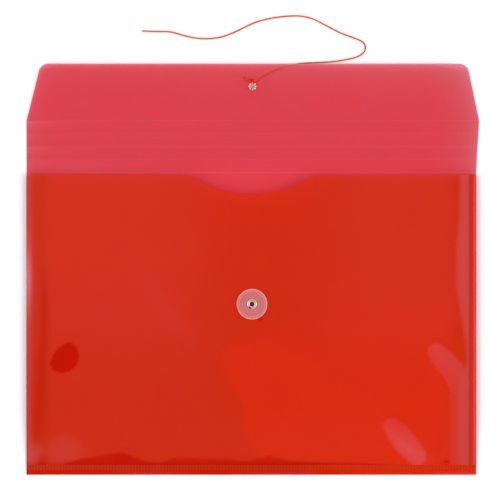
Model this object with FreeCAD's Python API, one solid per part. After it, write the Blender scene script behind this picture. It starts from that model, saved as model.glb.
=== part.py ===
"""String-tie document wallet in thin film, lying on its back with the flap open.

Millimetres. The origin is the centre of the back panel's outer face. +X runs across the wallet,
+Y from the bottom seam towards the flap, and +Z out of the front panel, which faces up.
The whole wallet is one sheet of film, so each panel ends at the score line, fold or weld that
parts it from the next. Every piece is written to parts/NAME.step.
"""
import FreeCAD
import Part
import math
import os
from FreeCAD import Vector

# ---- film ----
FILM = 0.35                 # thickness of the sheet
SCORE_GAP = 0.05            # width of a score line, where the film hinges
LAY_GAP = 0.03              # air between two films that lie on each other

# ---- body ----
BODY_WIDTH = 368.3          # over the side folds
BODY_HEIGHT = 247.65        # from the lip's edge to the main score line
FRONT_RISE = 5.9            # from the floor to the underside of the front panel's level part
RAMP_LENGTH = 40.0          # slope of the front panel from the bottom seam to its level part
LIP_WIDTH = 3.5             # loose film below the bottom weld
LIP_THICKNESS = 0.7
WELD_WIDTH = 4.6            # knurled weld that closes the bottom
WELD_THICKNESS = 1.6        # back panel, two gusset leaves and front panel pressed together
EDGE_DROP_LEFT = 0.3        # from the main score line down to the front panel's edge, at the folds
EDGE_DROP_RIGHT = 1.4
EDGE_EASE_LEFT = 32.0       # from the side folds in to where the edge runs straight
EDGE_EASE_RIGHT = 52.0
EDGE_DIP_LEFT = 1.3         # from the main score line down to the ends of the straight stretch
EDGE_DIP_RIGHT = 3.7
NOTCH_WIDTH = 100.0         # thumb notch in the front panel's edge
NOTCH_DEPTH = 15.0
NOTCH_SHOULDER = 6.0        # rounding where the notch meets the edge
GUSSET_DEPTH = 17.6         # from a side fold to the gusset's inner fold
GUSSET_DROP = 2.8           # from the main score line down to the gusset's edge
OVERLAP_WIDTH = 5.5         # margin of film that is welded over the front panel's right edge

# ---- flap ----
FLAP_LENGTH = 89.1          # from the main score line to the flap's edge
SCORE_PITCH = 10.6          # from one score line to the next
FLAP_STRIPS = 4             # narrow strips between the score lines
FLAP_FLARE = 2.5            # how far the flap's right side leans out by the last score line
SLANT_LEFT = 11.7           # how far each slanted side leans in towards the flap's edge
SLANT_RIGHT = 9.8
FLAP_CORNER = 8.0           # corner rounding

# ---- button on the front panel ----
BUTTON_X = 0.6
BUTTON_BELOW_SCORE = 107.8  # from the main score line down to the button
RUN_GAP = 0.05              # running clearance of the disc on its rivet
DISC_DIAMETER = 24.8
DISC_HUB_DIAMETER = 11.0    # flat foot that stands on the film
DISC_STEP_DIAMETER = 17.8   # where the sunk middle meets the raised land
DISC_THICKNESS = 0.95       # of the sunk middle
DISC_LAND_RISE = 0.3        # the raised land above the middle
DISC_LIFT = 0.7             # room for the string under the disc's outer part
DISC_RIM_WIDTH = 0.7
DISC_RIM_RISE = 0.25        # rim bead above the land
RIVET_BORE = 3.8            # the rivet is a hollow tube
RIVET_WALL = 0.4
RIVET_HEAD_DIAMETER = 7.9
RIVET_HEAD_RISE = 0.75
RIVET_ROLL_DIAMETER = 6.4   # clinched end inside the pocket
RIVET_ROLL_RISE = 0.5
WASHER_DIAMETER = 11.0
WASHER_THICKNESS = 0.4

# ---- eyelet on the flap ----
EYELET_X = 1.0
EYELET_FROM_SCORE = 70.4
EYELET_BORE = 2.5
EYELET_WALL = 0.45
EYELET_DIAMETER = 6.9       # of the petals, and of the flange on the other face
EYELET_FLANGE = 0.45        # thickness of the flange
EYELET_PETALS = 8
PETAL_RISE = 0.55           # height of the curled petals on the film
PETAL_TIP = 0.2             # thickness at a petal's tip
PETAL_SPLIT_DEG = 21.0      # opening of each split
STRING_ROOM = 1.35          # between the flange and the film, where the string is tied

# ---- string ----
STRING_DIAMETER = 1.0
LOOP_SLACK = 0.1            # between the eyelet's tube and the loop round it
LOOP_HEIGHT = 1.2           # of the loop's centre line above the floor
KNOT_DIAMETER = 3.2
KNOT_HEIGHT = 1.7
KNOT_ROUNDING = 0.75
KNOT_FLOOR_GAP = 0.12
KNOT_FROM_EYELET = (-0.5, 5.0)
KNOT_STRANDS = 1.5          # between the two strands of the loop where the knot grips them
KNOT_GRIP = 1.1             # from the knot's centre back to the strands' ends
ARC_SHARE = 0.45            # share of the shorter run that a bend's arc takes up

# Route of the free string from the knot to its cut end: offsets in X and Y from the eyelet, and
# the height of the string's middle above the floor.
STRING_ROUTE = [
    (0.8, 4.8, 0.95), (4.2, 4.4, 0.85), (7.2, 6.9, 0.6), (10.8, 9.7, 0.5), (16.8, 12.5, 0.5),
    (26.5, 16.1, 0.5), (37.5, 19.0, 0.5), (49.5, 19.6, 0.5), (63.5, 20.1, 0.5), (77.0, 22.0, 0.5),
    (87.5, 24.6, 0.5), (93.2, 30.1, 0.5), (91.4, 36.6, 0.5), (83.5, 39.7, 0.5), (72.0, 43.8, 0.5),
    (61.0, 49.6, 0.5), (50.5, 55.4, 0.5), (39.5, 58.1, 0.5), (27.0, 57.7, 0.5), (13.0, 55.8, 0.5),
    (0.5, 52.2, 0.5), (-11.5, 46.0, 0.5), (-23.5, 40.8, 0.5), (-35.5, 39.0, 0.5),
    (-47.5, 39.6, 0.5), (-59.0, 42.6, 0.5), (-67.5, 45.2, 0.5), (-79.0, 45.0, 0.5),
    (-90.3, 45.6, 0.5),
]
TAIL_ROUTE = [
    (-1.8, 5.0, 0.95), (-4.6, 4.3, 0.8), (-6.3, 6.4, 0.55), (-7.0, 8.3, 0.5),
]

# ---- places that follow from the sizes ----
HALF_WIDTH = BODY_WIDTH / 2
SCORE_Y = BODY_HEIGHT / 2                   # main score line
LIP_Y = -BODY_HEIGHT / 2
WELD_Y = LIP_Y + LIP_WIDTH
POCKET_Y = WELD_Y + WELD_WIDTH              # where the weld ends and the pocket begins
FRONT_Y = POCKET_Y + SCORE_GAP              # lower edge of the front panel
RAMP_Y = POCKET_Y + RAMP_LENGTH
FRONT_TOP = FRONT_RISE + FILM
EDGE = [                                    # the front panel's upper edge, from left to right
    (-HALF_WIDTH, SCORE_Y - EDGE_DROP_LEFT),
    (-HALF_WIDTH + EDGE_EASE_LEFT, SCORE_Y - EDGE_DIP_LEFT),
    (HALF_WIDTH - EDGE_EASE_RIGHT, SCORE_Y - EDGE_DIP_RIGHT),
    (HALF_WIDTH, SCORE_Y - EDGE_DROP_RIGHT),
]
FRONT_SLOT = WELD_THICKNESS - FILM          # underside of the front panel at the weld
GUSSET_Y = SCORE_Y - GUSSET_DROP
LAST_SCORE = FLAP_STRIPS * SCORE_PITCH      # from the main score line to the last one
BUTTON_Y = SCORE_Y - BUTTON_BELOW_SCORE
RIVET_RADIUS = RIVET_BORE / 2 + RIVET_WALL
DISC_FOOT = FRONT_TOP + RUN_GAP
EYELET_RADIUS = EYELET_BORE / 2 + EYELET_WALL
EYELET_STAND = STRING_ROOM + EYELET_FLANGE  # from the film to the flange's outer face
# The flap leans on the edge of the eyelet's flange, so its slope follows from the stand.
FLAP_SLOPE_DEG = math.degrees(math.atan(EYELET_STAND / (EYELET_FROM_SCORE - EYELET_DIAMETER / 2)))
EYELET_Y = SCORE_Y + EYELET_FROM_SCORE
PAST = 10.0                                 # how far a cutter reaches past what it cuts

X_AXIS = Vector(1, 0, 0)
Z_AXIS = Vector(0, 0, 1)
parts = {}


def face_of(points):
    """A flat face inside straight lines through the points."""
    corners = [Vector(*p) for p in points]
    return Part.Face(Part.makePolygon(corners + corners[:1]))


def bar(profile, x_from, x_to):
    """A bar along X with a profile of (y, z) points."""
    return face_of([(x_from, y, z) for y, z in profile]).extrude(Vector(x_to - x_from, 0, 0))


def plate(outline, bottom, top):
    """A plate with an outline of (x, y) points."""
    return face_of([(x, y, bottom) for x, y in outline]).extrude(Vector(0, 0, top - bottom))


def turned(profile, x, y):
    """A body turned round the upright line at x, y from a profile of (radius, z) points."""
    ring = face_of([(r, 0, z) for r, z in profile]).revolve(Vector(0, 0, 0), Z_AXIS, 360)
    return ring.translated(Vector(x, y, 0))


def rod(x, y, radius, bottom, top):
    """An upright cylinder."""
    return Part.makeCylinder(radius, top - bottom, Vector(x, y, bottom), Z_AXIS)


def upright_edges(shape, places):
    """The upright edges of a plate that stand nearest to each (x, y) place."""
    upright = [
        e for e in shape.Edges
        if len(e.Vertexes) == 2 and abs(e.Vertexes[0].X - e.Vertexes[1].X) < 1e-6
        and abs(e.Vertexes[0].Y - e.Vertexes[1].Y) < 1e-6
    ]
    return [
        min(upright, key=lambda e: math.hypot(e.Vertexes[0].X - x, e.Vertexes[0].Y - y))
        for x, y in places
    ]


def on_flap(shape):
    """Tilts a piece that was made on a level flap to the slope at which the flap lies."""
    return shape.rotated(Vector(0, SCORE_Y, FILM), X_AXIS, FLAP_SLOPE_DEG)


# ---- body ----
def back_panel():
    return plate(
        [(-HALF_WIDTH, POCKET_Y), (HALF_WIDTH, POCKET_Y),
         (HALF_WIDTH, SCORE_Y - SCORE_GAP / 2), (-HALF_WIDTH, SCORE_Y - SCORE_GAP / 2)],
        0, FILM,
    )


def bottom_seam():
    profile = [
        (LIP_Y, 0), (POCKET_Y, 0), (POCKET_Y, WELD_THICKNESS), (WELD_Y, WELD_THICKNESS),
        (WELD_Y, LIP_THICKNESS), (LIP_Y, LIP_THICKNESS),
    ]
    return bar(profile, -HALF_WIDTH, HALF_WIDTH)


def film_on_front(lift, x_from, x_to):
    """Film that follows the front panel's slope and level part, lift above its underside."""
    under = [
        (FRONT_Y, FRONT_SLOT + lift), (RAMP_Y, FRONT_RISE + lift), (SCORE_Y, FRONT_RISE + lift)]
    over = [(y, z + FILM) for y, z in reversed(under)]
    return bar(under + over, x_from, x_to)


def edge_height(x):
    """Y at x of the straight stretch of the front panel's upper edge."""
    (left, left_y), (right, right_y) = EDGE[1:3]
    return left_y + (right_y - left_y) * (x - left) / (right - left)


def above_edge():
    """Everything above the front panel's upper edge."""
    (left, left_y), (right, right_y) = EDGE[0], EDGE[-1]
    outline = EDGE + [
        (right + PAST, right_y), (right + PAST, SCORE_Y + PAST),
        (left - PAST, SCORE_Y + PAST), (left - PAST, left_y),
    ]
    return plate(outline, FRONT_RISE - PAST, FRONT_TOP + PAST)


def front_panel():
    film = film_on_front(0, -HALF_WIDTH, HALF_WIDTH).cut(above_edge())
    half = NOTCH_WIDTH / 2
    radius = (half ** 2 + NOTCH_DEPTH ** 2) / (2 * NOTCH_DEPTH)
    centre_y = edge_height(0) - NOTCH_DEPTH + radius
    film = film.cut(rod(0, centre_y, radius, FRONT_RISE - PAST, FRONT_TOP + PAST))
    shoulders = [(-half, edge_height(-half)), (half, edge_height(half))]
    film = film.makeFillet(NOTCH_SHOULDER, upright_edges(film, shoulders))
    return film.cut(rod(BUTTON_X, BUTTON_Y, RIVET_RADIUS, 0, FRONT_TOP + PAST))


def side_overlap():
    return film_on_front(FILM, HALF_WIDTH - OVERLAP_WIDTH, HALF_WIDTH).cut(above_edge())


def gusset(side):
    """V-folded side wall: two leaves from the side fold in to the inner fold. side is -1 or 1."""
    low = FILM + LAY_GAP
    sections = []
    stations = [(POCKET_Y, FRONT_SLOT), (RAMP_Y, FRONT_RISE), (GUSSET_Y, FRONT_RISE)]
    for y, underside in stations:
        high = underside - LAY_GAP
        middle = (low + high) / 2
        inner = 1 - 2 * FILM / (high - low)     # how far in the gap between the leaves reaches
        outer_x = side * HALF_WIDTH
        corners = [
            (outer_x, low), (outer_x - side * GUSSET_DEPTH, middle), (outer_x, high),
            (outer_x, high - FILM), (outer_x - side * GUSSET_DEPTH * inner, middle),
            (outer_x, low + FILM),
        ]
        points = [Vector(x, y, z) for x, z in corners]
        sections.append(Part.makePolygon(points + points[:1]))
    return Part.makeLoft(sections, True, True)


# ---- flap ----
def flap_right(along):
    """X of the flap's right side at a distance from the main score line."""
    return HALF_WIDTH + FLAP_FLARE * along / LAST_SCORE


def flap_strip(number):
    """Strip between two score lines. The first one, next to the body, is number 1."""
    start = (number - 1) * SCORE_PITCH + SCORE_GAP / 2
    end = number * SCORE_PITCH - SCORE_GAP / 2
    outline = [
        (-HALF_WIDTH, SCORE_Y + start), (flap_right(start), SCORE_Y + start),
        (flap_right(end), SCORE_Y + end), (-HALF_WIDTH, SCORE_Y + end),
    ]
    return on_flap(plate(outline, 0, FILM))


def flap_panel():
    start = LAST_SCORE + SCORE_GAP / 2
    left = (-HALF_WIDTH + SLANT_LEFT, SCORE_Y + FLAP_LENGTH)
    right = (HALF_WIDTH + FLAP_FLARE - SLANT_RIGHT, SCORE_Y + FLAP_LENGTH)
    outline = [
        (-HALF_WIDTH, SCORE_Y + start), (HALF_WIDTH + FLAP_FLARE, SCORE_Y + start), right, left,
    ]
    film = plate(outline, 0, FILM)
    film = film.makeFillet(FLAP_CORNER, upright_edges(film, [left, right]))
    return on_flap(film.cut(rod(EYELET_X, EYELET_Y, EYELET_RADIUS, -PAST, PAST)))


# ---- button ----
def button_disc():
    bore = RIVET_RADIUS + RUN_GAP
    hub, step, outer = DISC_HUB_DIAMETER / 2, DISC_STEP_DIAMETER / 2, DISC_DIAMETER / 2
    middle = DISC_FOOT + DISC_THICKNESS
    land = middle + DISC_LAND_RISE
    rim = land + DISC_RIM_RISE
    slope = DISC_LAND_RISE
    profile = [
        (bore, DISC_FOOT), (hub, DISC_FOOT), (hub + DISC_LIFT, DISC_FOOT + DISC_LIFT),
        (outer - slope, DISC_FOOT + DISC_LIFT), (outer, DISC_FOOT + DISC_LIFT + slope),
        (outer, rim - slope), (outer - slope, rim), (outer - DISC_RIM_WIDTH, rim),
        (outer - DISC_RIM_WIDTH - DISC_RIM_RISE, land), (step + slope, land), (step, middle),
        (bore, middle),
    ]
    return turned(profile, BUTTON_X, BUTTON_Y)


def rivet_washer():
    top = FRONT_RISE
    profile = [
        (RIVET_RADIUS, top - WASHER_THICKNESS), (WASHER_DIAMETER / 2, top - WASHER_THICKNESS),
        (WASHER_DIAMETER / 2, top), (RIVET_RADIUS, top),
    ]
    return turned(profile, BUTTON_X, BUTTON_Y)


def button_rivet():
    """Hollow rivet: rolled head on the disc, tube through disc, film and washer, rolled end."""
    bore = RIVET_BORE / 2
    head = RIVET_HEAD_DIAMETER / 2
    roll = RIVET_ROLL_DIAMETER / 2
    seat = DISC_FOOT + DISC_THICKNESS + RUN_GAP
    crown = seat + RIVET_HEAD_RISE
    washer_under = FRONT_RISE - WASHER_THICKNESS
    end = washer_under - RIVET_ROLL_RISE
    ease = RIVET_WALL / 2
    profile = [
        (bore, end + ease), (bore + ease, end), (roll - ease, end), (roll, end + ease),
        (roll, washer_under), (RIVET_RADIUS, washer_under), (RIVET_RADIUS, seat), (head, seat),
        (head, seat + RIVET_HEAD_RISE / 3), (head - RIVET_WALL, crown - ease),
        ((bore + head) / 2 + ease, crown), ((bore + head) / 2 - ease, crown),
        (bore + ease, crown - ease), (bore, seat),
    ]
    return turned(profile, BUTTON_X, BUTTON_Y)


# ---- eyelet ----
def flap_eyelet():
    """Tube through the flap: a flat flange under the film, and an end split into petals."""
    bore, tube, outer = EYELET_BORE / 2, EYELET_RADIUS, EYELET_DIAMETER / 2
    ease = EYELET_FLANGE / 3
    crown = FILM + PETAL_RISE
    profile = [
        (bore, -EYELET_STAND), (outer - ease, -EYELET_STAND), (outer, -EYELET_STAND + ease),
        (outer, -STRING_ROOM - ease), (outer - ease, -STRING_ROOM), (tube, -STRING_ROOM),
        (tube, FILM), (outer, FILM), (outer, FILM + PETAL_TIP),
        ((tube + outer) / 2, crown - PETAL_TIP / 2), (tube, crown), (bore, FILM + PETAL_TIP),
    ]
    eyelet = turned(profile, EYELET_X, EYELET_Y)
    half_split = outer * math.tan(math.radians(PETAL_SPLIT_DEG / 2))
    split = plate([(tube, 0), (outer + PAST, half_split * 2), (outer + PAST, -half_split * 2)],
                  FILM, FILM + PAST)
    for number in range(EYELET_PETALS):
        turn = 360 * (number + 0.5) / EYELET_PETALS
        wedge = split.rotated(Vector(0, 0, 0), Z_AXIS, turn)
        eyelet = eyelet.cut(wedge.translated(Vector(EYELET_X, EYELET_Y, 0)))
    return on_flap(eyelet)


# ---- string ----
def tube_along(wire, start, direction):
    """A round string swept along a wire that starts at a point in a direction."""
    ring = Part.Wire(Part.makeCircle(STRING_DIAMETER / 2, start, direction))
    string = Part.Solid(wire.makePipeShell([ring], True, False))
    section = math.pi * STRING_DIAMETER ** 2 / 4
    return string, string.Volume / (section * wire.Length)


def route_tube(name, offsets):
    """String along straight runs that are joined by tangent arcs. Prints its bends and length."""
    points = [Vector(EYELET_X + dx, EYELET_Y + dy, z) for dx, dy, z in offsets]
    edges, radii, start = [], [], points[0]
    for before, corner, after in zip(points, points[1:], points[2:]):
        to_start = (before - corner).normalize()
        to_end = (after - corner).normalize()
        reach = ARC_SHARE * min((before - corner).Length, (after - corner).Length)
        half_turn = (math.pi - to_start.getAngle(to_end)) / 2
        radius = reach / math.tan(half_turn)
        arc_start = corner + to_start * reach
        arc_end = corner + to_end * reach
        inward = (to_start + to_end).normalize()
        arc_middle = corner + inward * (radius / math.cos(half_turn) - radius)
        edges.append(Part.LineSegment(start, arc_start).toShape())
        edges.append(Part.Arc(arc_start, arc_middle, arc_end).toShape())
        radii.append(radius)
        start = arc_end
    edges.append(Part.LineSegment(start, points[-1]).toShape())
    wire = Part.Wire(edges)
    string, share = tube_along(wire, points[0], points[1] - points[0])
    print(f"{name}: {wire.Length:.1f} mm long, volume over section times length {share:.4f}, "
          f"tightest bend {min(radii):.1f} mm, bends {[round(r, 1) for r in radii]}")
    return string


def string_loop():
    """Loop round the eyelet's tube, with both strands ending in the knot."""
    radius = EYELET_RADIUS + LOOP_SLACK + STRING_DIAMETER / 2
    centre = Vector(EYELET_X, EYELET_Y, LOOP_HEIGHT)
    knot = centre + Vector(KNOT_FROM_EYELET[0], KNOT_FROM_EYELET[1], 0)
    ends = [knot + Vector(side * KNOT_STRANDS / 2, -KNOT_GRIP, 0) for side in (-1, 1)]
    touches = []
    for side, end in zip((1, -1), ends):
        out = end - centre
        turn = math.atan2(out.y, out.x) + side * math.acos(radius / out.Length)
        touches.append(centre + Vector(math.cos(turn), math.sin(turn), 0) * radius)
    far = centre - (touches[0] + touches[1] - centre * 2).normalize() * radius
    wire = Part.Wire([
        Part.LineSegment(ends[0], touches[0]).toShape(),
        Part.Arc(touches[0], far, touches[1]).toShape(),
        Part.LineSegment(touches[1], ends[1]).toShape(),
    ])
    string, share = tube_along(wire, ends[0], touches[0] - ends[0])
    print(f"string_loop: {wire.Length:.1f} mm long, volume over section times length {share:.4f}")
    return string


def string_knot():
    x, y = EYELET_X + KNOT_FROM_EYELET[0], EYELET_Y + KNOT_FROM_EYELET[1]
    knot = rod(x, y, KNOT_DIAMETER / 2, KNOT_FLOOR_GAP, KNOT_FLOOR_GAP + KNOT_HEIGHT)
    rims = [e for e in knot.Edges if e.Curve.TypeId == "Part::GeomCircle"]
    return knot.makeFillet(KNOT_ROUNDING, rims)


parts["back_panel"] = back_panel()
parts["bottom_seam"] = bottom_seam()
parts["left_gusset"] = gusset(-1)
parts["right_gusset"] = gusset(1)
parts["front_panel"] = front_panel()
parts["side_overlap"] = side_overlap()
for strip in range(1, FLAP_STRIPS + 1):
    parts[f"flap_strip_{strip}"] = flap_strip(strip)
parts["flap_panel"] = flap_panel()
parts["button_disc"] = button_disc()
parts["button_rivet"] = button_rivet()
parts["rivet_washer"] = rivet_washer()
parts["flap_eyelet"] = flap_eyelet()
parts["tie_string"] = route_tube("tie_string", STRING_ROUTE)
parts["string_tail"] = route_tube("string_tail", TAIL_ROUTE)
parts["string_loop"] = string_loop()
parts["string_knot"] = string_knot()

for number in range(FLAP_STRIPS + 1):
    score = Part.Vertex(0, SCORE_Y + number * SCORE_PITCH, FILM)
    place = on_flap(score).Point
    print(f"score line {number + 1}: y {place.y:.4f}, z {place.z:.4f}")
print(f"front panel hinge: y {POCKET_Y + SCORE_GAP / 2:.4f}, z {WELD_THICKNESS:.4f}")
print(f"flap slope {FLAP_SLOPE_DEG:.3f} degrees, button y {BUTTON_Y:.3f}")

os.makedirs("parts", exist_ok=True)
for name, shape in parts.items():
    solids = shape.Solids
    if not solids or not shape.isValid():
        raise ValueError(f"{name} is not a valid solid")
    (solids[0] if len(solids) == 1 else Part.makeCompound(solids)).exportStep(f"parts/{name}.step")
    box = shape.BoundBox
    print(f"{name}: {len(solids)} solid, {shape.Volume:.2f} mm3, "
          f"x {box.XMin:.2f} {box.XMax:.2f}, y {box.YMin:.2f} {box.YMax:.2f}, "
          f"z {box.ZMin:.3f} {box.ZMax:.3f}")
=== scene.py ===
"""Looks of a string-tie document wallet in thin red film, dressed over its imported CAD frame.

Metres, in the frame's own axes: +X across the wallet, +Y from the bottom seam to the flap, +Z up.
Each film panel is a thin closed shell that bends at the score lines and folds where the frame does.
"""
import logging
import math
from contextlib import contextmanager
from dataclasses import dataclass, field
from enum import Enum
from typing import Callable, Iterable, Iterator, Optional, Sequence

import bmesh
import bpy
import numpy as np
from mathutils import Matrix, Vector

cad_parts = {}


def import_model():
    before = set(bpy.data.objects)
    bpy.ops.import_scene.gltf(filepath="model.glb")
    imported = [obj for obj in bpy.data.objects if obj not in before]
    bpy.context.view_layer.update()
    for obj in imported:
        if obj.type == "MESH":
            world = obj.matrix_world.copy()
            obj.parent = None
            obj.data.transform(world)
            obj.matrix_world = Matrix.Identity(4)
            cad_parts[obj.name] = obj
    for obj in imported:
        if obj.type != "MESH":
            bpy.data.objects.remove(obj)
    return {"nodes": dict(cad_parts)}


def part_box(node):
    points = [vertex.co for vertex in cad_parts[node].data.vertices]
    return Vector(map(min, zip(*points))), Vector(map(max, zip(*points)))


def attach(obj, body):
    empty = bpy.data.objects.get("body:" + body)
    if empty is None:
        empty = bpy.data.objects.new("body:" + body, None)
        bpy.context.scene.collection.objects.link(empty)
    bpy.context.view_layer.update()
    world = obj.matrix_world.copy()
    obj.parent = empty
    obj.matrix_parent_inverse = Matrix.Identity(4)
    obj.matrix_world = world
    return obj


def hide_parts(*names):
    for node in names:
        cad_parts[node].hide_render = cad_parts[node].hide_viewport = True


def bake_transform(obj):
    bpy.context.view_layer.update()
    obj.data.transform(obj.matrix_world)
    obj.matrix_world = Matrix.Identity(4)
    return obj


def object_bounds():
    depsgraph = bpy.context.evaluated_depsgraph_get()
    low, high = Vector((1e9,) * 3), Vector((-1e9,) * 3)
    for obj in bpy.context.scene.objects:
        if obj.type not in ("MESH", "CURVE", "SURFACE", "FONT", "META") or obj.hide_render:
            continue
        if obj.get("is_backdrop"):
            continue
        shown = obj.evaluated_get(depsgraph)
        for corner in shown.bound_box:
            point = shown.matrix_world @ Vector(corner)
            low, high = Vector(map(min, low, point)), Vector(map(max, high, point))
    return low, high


LOG = logging.getLogger("wallet")
MM = 0.001
Array = np.ndarray
Mesh = bpy.types.Mesh
Object = bpy.types.Object
Material = bpy.types.Material
Socket = bpy.types.NodeSocket
Point = tuple[float, float, float]
Colour = tuple[float, float, float]

SCORE_GAP = 0.05 * MM       # width of a score line in the frame
LIP_WIDTH = 3.5 * MM        # loose film below the bottom weld
SCORE_PITCH = 10.6 * MM     # from one score line to the next
SCORE_LINES = 5
FLAP_SLOPE = math.radians(1.540)    # at which the open flap lies
FULL_TURN = 2 * math.pi


class Panel(Enum):
    """Bodies of the frame that film rides on."""

    BODY = "body"
    FRONT = "front"
    BUTTON = "button"
    FLAP = "flap"


class Side(Enum):
    """Sides of the wallet, and the sign of X there."""

    LEFT = -1
    RIGHT = 1


class Rim(Enum):
    """The four rims of a grid of film."""

    FIRST_ROW = "first row"
    LAST_ROW = "last row"
    FIRST_COLUMN = "first column"
    LAST_COLUMN = "last column"


# ---------------------------------------------------------------- small sums
def ease(value: Array, start: float, end: float) -> Array:
    """Smooth step from 0 at start to 1 at end; start may be the larger one."""
    share = np.clip((np.asarray(value, float) - start) / (end - start), 0, 1)
    return share * share * (3 - 2 * share)


def ramp(value: Array, start: float, end: float) -> Array:
    """The smooth step of ease, with its start and end in millimetres."""
    return ease(value, start * MM, end * MM)


def course(value: Array, marks: Sequence[tuple[float, float]]) -> Array:
    """A length that runs straight from mark to mark of (place, length), both in millimetres."""
    places, lengths = zip(*marks)
    return np.interp(value / MM, places, lengths) * MM


def hump(value: Array, centre: float, reach: float) -> Array:
    """Bell that is 1 at the centre and fades out over reach."""
    return np.exp(-((np.asarray(value, float) - centre) / reach) ** 2)


def bell(x: Array, y: Array, middle: tuple[float, float],
         reach: tuple[float, float]) -> Array:
    """Bell over x and y that is 1 at its middle; middle and reach are in millimetres."""
    return hump(np.hypot((x / MM - middle[0]) / reach[0], (y / MM - middle[1]) / reach[1]), 0, 1)


def spread(start: float, end: float, step: float, extra: Iterable[float] = ()) -> Array:
    """Places from start to end, about a step apart, with extra places between them.

    Args:
        start: First place.
        end: Last place.
        step: Largest distance between neighbours.
        extra: Places that have to be among them; near neighbours give way to them.

    Returns:
        The places in rising order.
    """
    kept = sorted(p for p in set(extra) if start < p < end)
    plain = np.linspace(start, end, max(2, math.ceil((end - start) / step) + 1))
    near = [p for p in plain[1:-1] if all(abs(p - k) > 0.4 * step for k in kept)]
    return np.array(sorted([start, end, *near, *kept]))


# ---------------------------------------------------------------- places from the frame
@dataclass(frozen=True)
class Places:
    """Main places of the wallet, read from the frame's nodes."""

    film: float
    half_width: float
    lip_y: float
    weld_y: float
    pocket_y: float
    score_y: float
    gusset_y: float
    gusset_inner: float
    front_under: float
    weld_top: float

    @property
    def start_y(self) -> float:
        """Y at which the pocket's films start, just above the bottom weld."""
        return self.pocket_y + 0.05 * MM

    @classmethod
    def from_frame(cls) -> "Places":
        """Reads the places from the boxes of the CAD nodes."""
        _, back_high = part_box("back_panel")
        seam_low, seam_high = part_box("bottom_seam")
        _, front_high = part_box("front_panel")
        gusset_low, gusset_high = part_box("right_gusset")
        return cls(
            film=back_high.z,
            half_width=back_high.x,
            lip_y=seam_low.y,
            weld_y=seam_low.y + LIP_WIDTH,
            pocket_y=seam_high.y,
            score_y=back_high.y + SCORE_GAP / 2,
            gusset_y=gusset_high.y,
            gusset_inner=gusset_low.x,
            front_under=front_high.z - back_high.z,
            weld_top=seam_high.z,
        )


# ---------------------------------------------------------------- node trees
class Tree:
    """A node tree with short calls to add and join its nodes."""

    def __init__(self, tree: bpy.types.NodeTree) -> None:
        """Takes a tree and empties it."""
        self.tree = tree
        tree.nodes.clear()

    def add(self, kind: str, inputs: Optional[dict] = None, **settings: object) -> bpy.types.Node:
        """Adds a node.

        Args:
            kind: Its type; a shader node's goes without the leading ShaderNode.
            inputs: Input sockets by name or number: a value, or an output socket to join.
            settings: The node's own settings.

        Returns:
            The new node.
        """
        node = self.tree.nodes.new(kind if "Node" in kind else "ShaderNode" + kind)
        for key, value in settings.items():
            setattr(node, key, value)
        for key, value in (inputs or {}).items():
            if isinstance(value, Socket):
                self.tree.links.new(value, node.inputs[key])
            else:
                node.inputs[key].default_value = value
        return node

    def sum(self, operation: str, first: object, second: object = 0.0,
            clamp: bool = False) -> Socket:
        """A Math node's output."""
        return self.add("Math", {0: first, 1: second}, operation=operation, use_clamp=clamp).outputs[0]


class PaintTree(Tree):
    """A material's node tree."""

    def __init__(self, name: str) -> None:
        """Starts an empty material of that name."""
        self.material = bpy.data.materials.new(name)
        self.material.use_nodes = True
        super().__init__(self.material.node_tree)

    def attribute(self, name: str) -> Socket:
        """A mesh attribute's value."""
        return self.add("Attribute", attribute_name=name).outputs["Fac"]

    def noise(self, place: Socket, scale: float, detail: float) -> Socket:
        """Noise from 0 to 1 about a place."""
        return self.add("TexNoise", {"Vector": place, "Scale": scale, "Detail": detail}).outputs["Fac"]

    def between(self, share: Socket, low: float, high: float) -> Socket:
        """A number between two others."""
        return self.add("MapRange", {"Value": share, "To Min": low, "To Max": high}).outputs[0]

    def bump(self, height: Socket, strength: float, distance: float,
             **more: Socket) -> Socket:
        """A normal that follows a height."""
        return self.add("Bump", {"Height": height, "Strength": strength, "Distance": distance,
                                 **more}).outputs[0]

    def mix_colour(self, share: object, first: object, second: object) -> Socket:
        """A colour between two others."""
        first, second = ((*value, 1) if isinstance(value, tuple) else value for value in (first, second))
        return self.add("Mix", {0: share, 6: first, 7: second}, data_type="RGBA").outputs[2]

    def blend_shaders(self, share: object, first: bpy.types.Node,
                      second: bpy.types.Node) -> Material:
        """Joins a mix of two shaders to the output and returns the material."""
        mix = self.add("MixShader", {0: share, 1: first.outputs[0], 2: second.outputs[0]})
        return self.finish(mix)

    def finish(self, shader: bpy.types.Node) -> Material:
        """Joins the last shader to the output and returns the material."""
        self.add("OutputMaterial", {"Surface": shader.outputs[0]})
        return self.material


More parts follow.
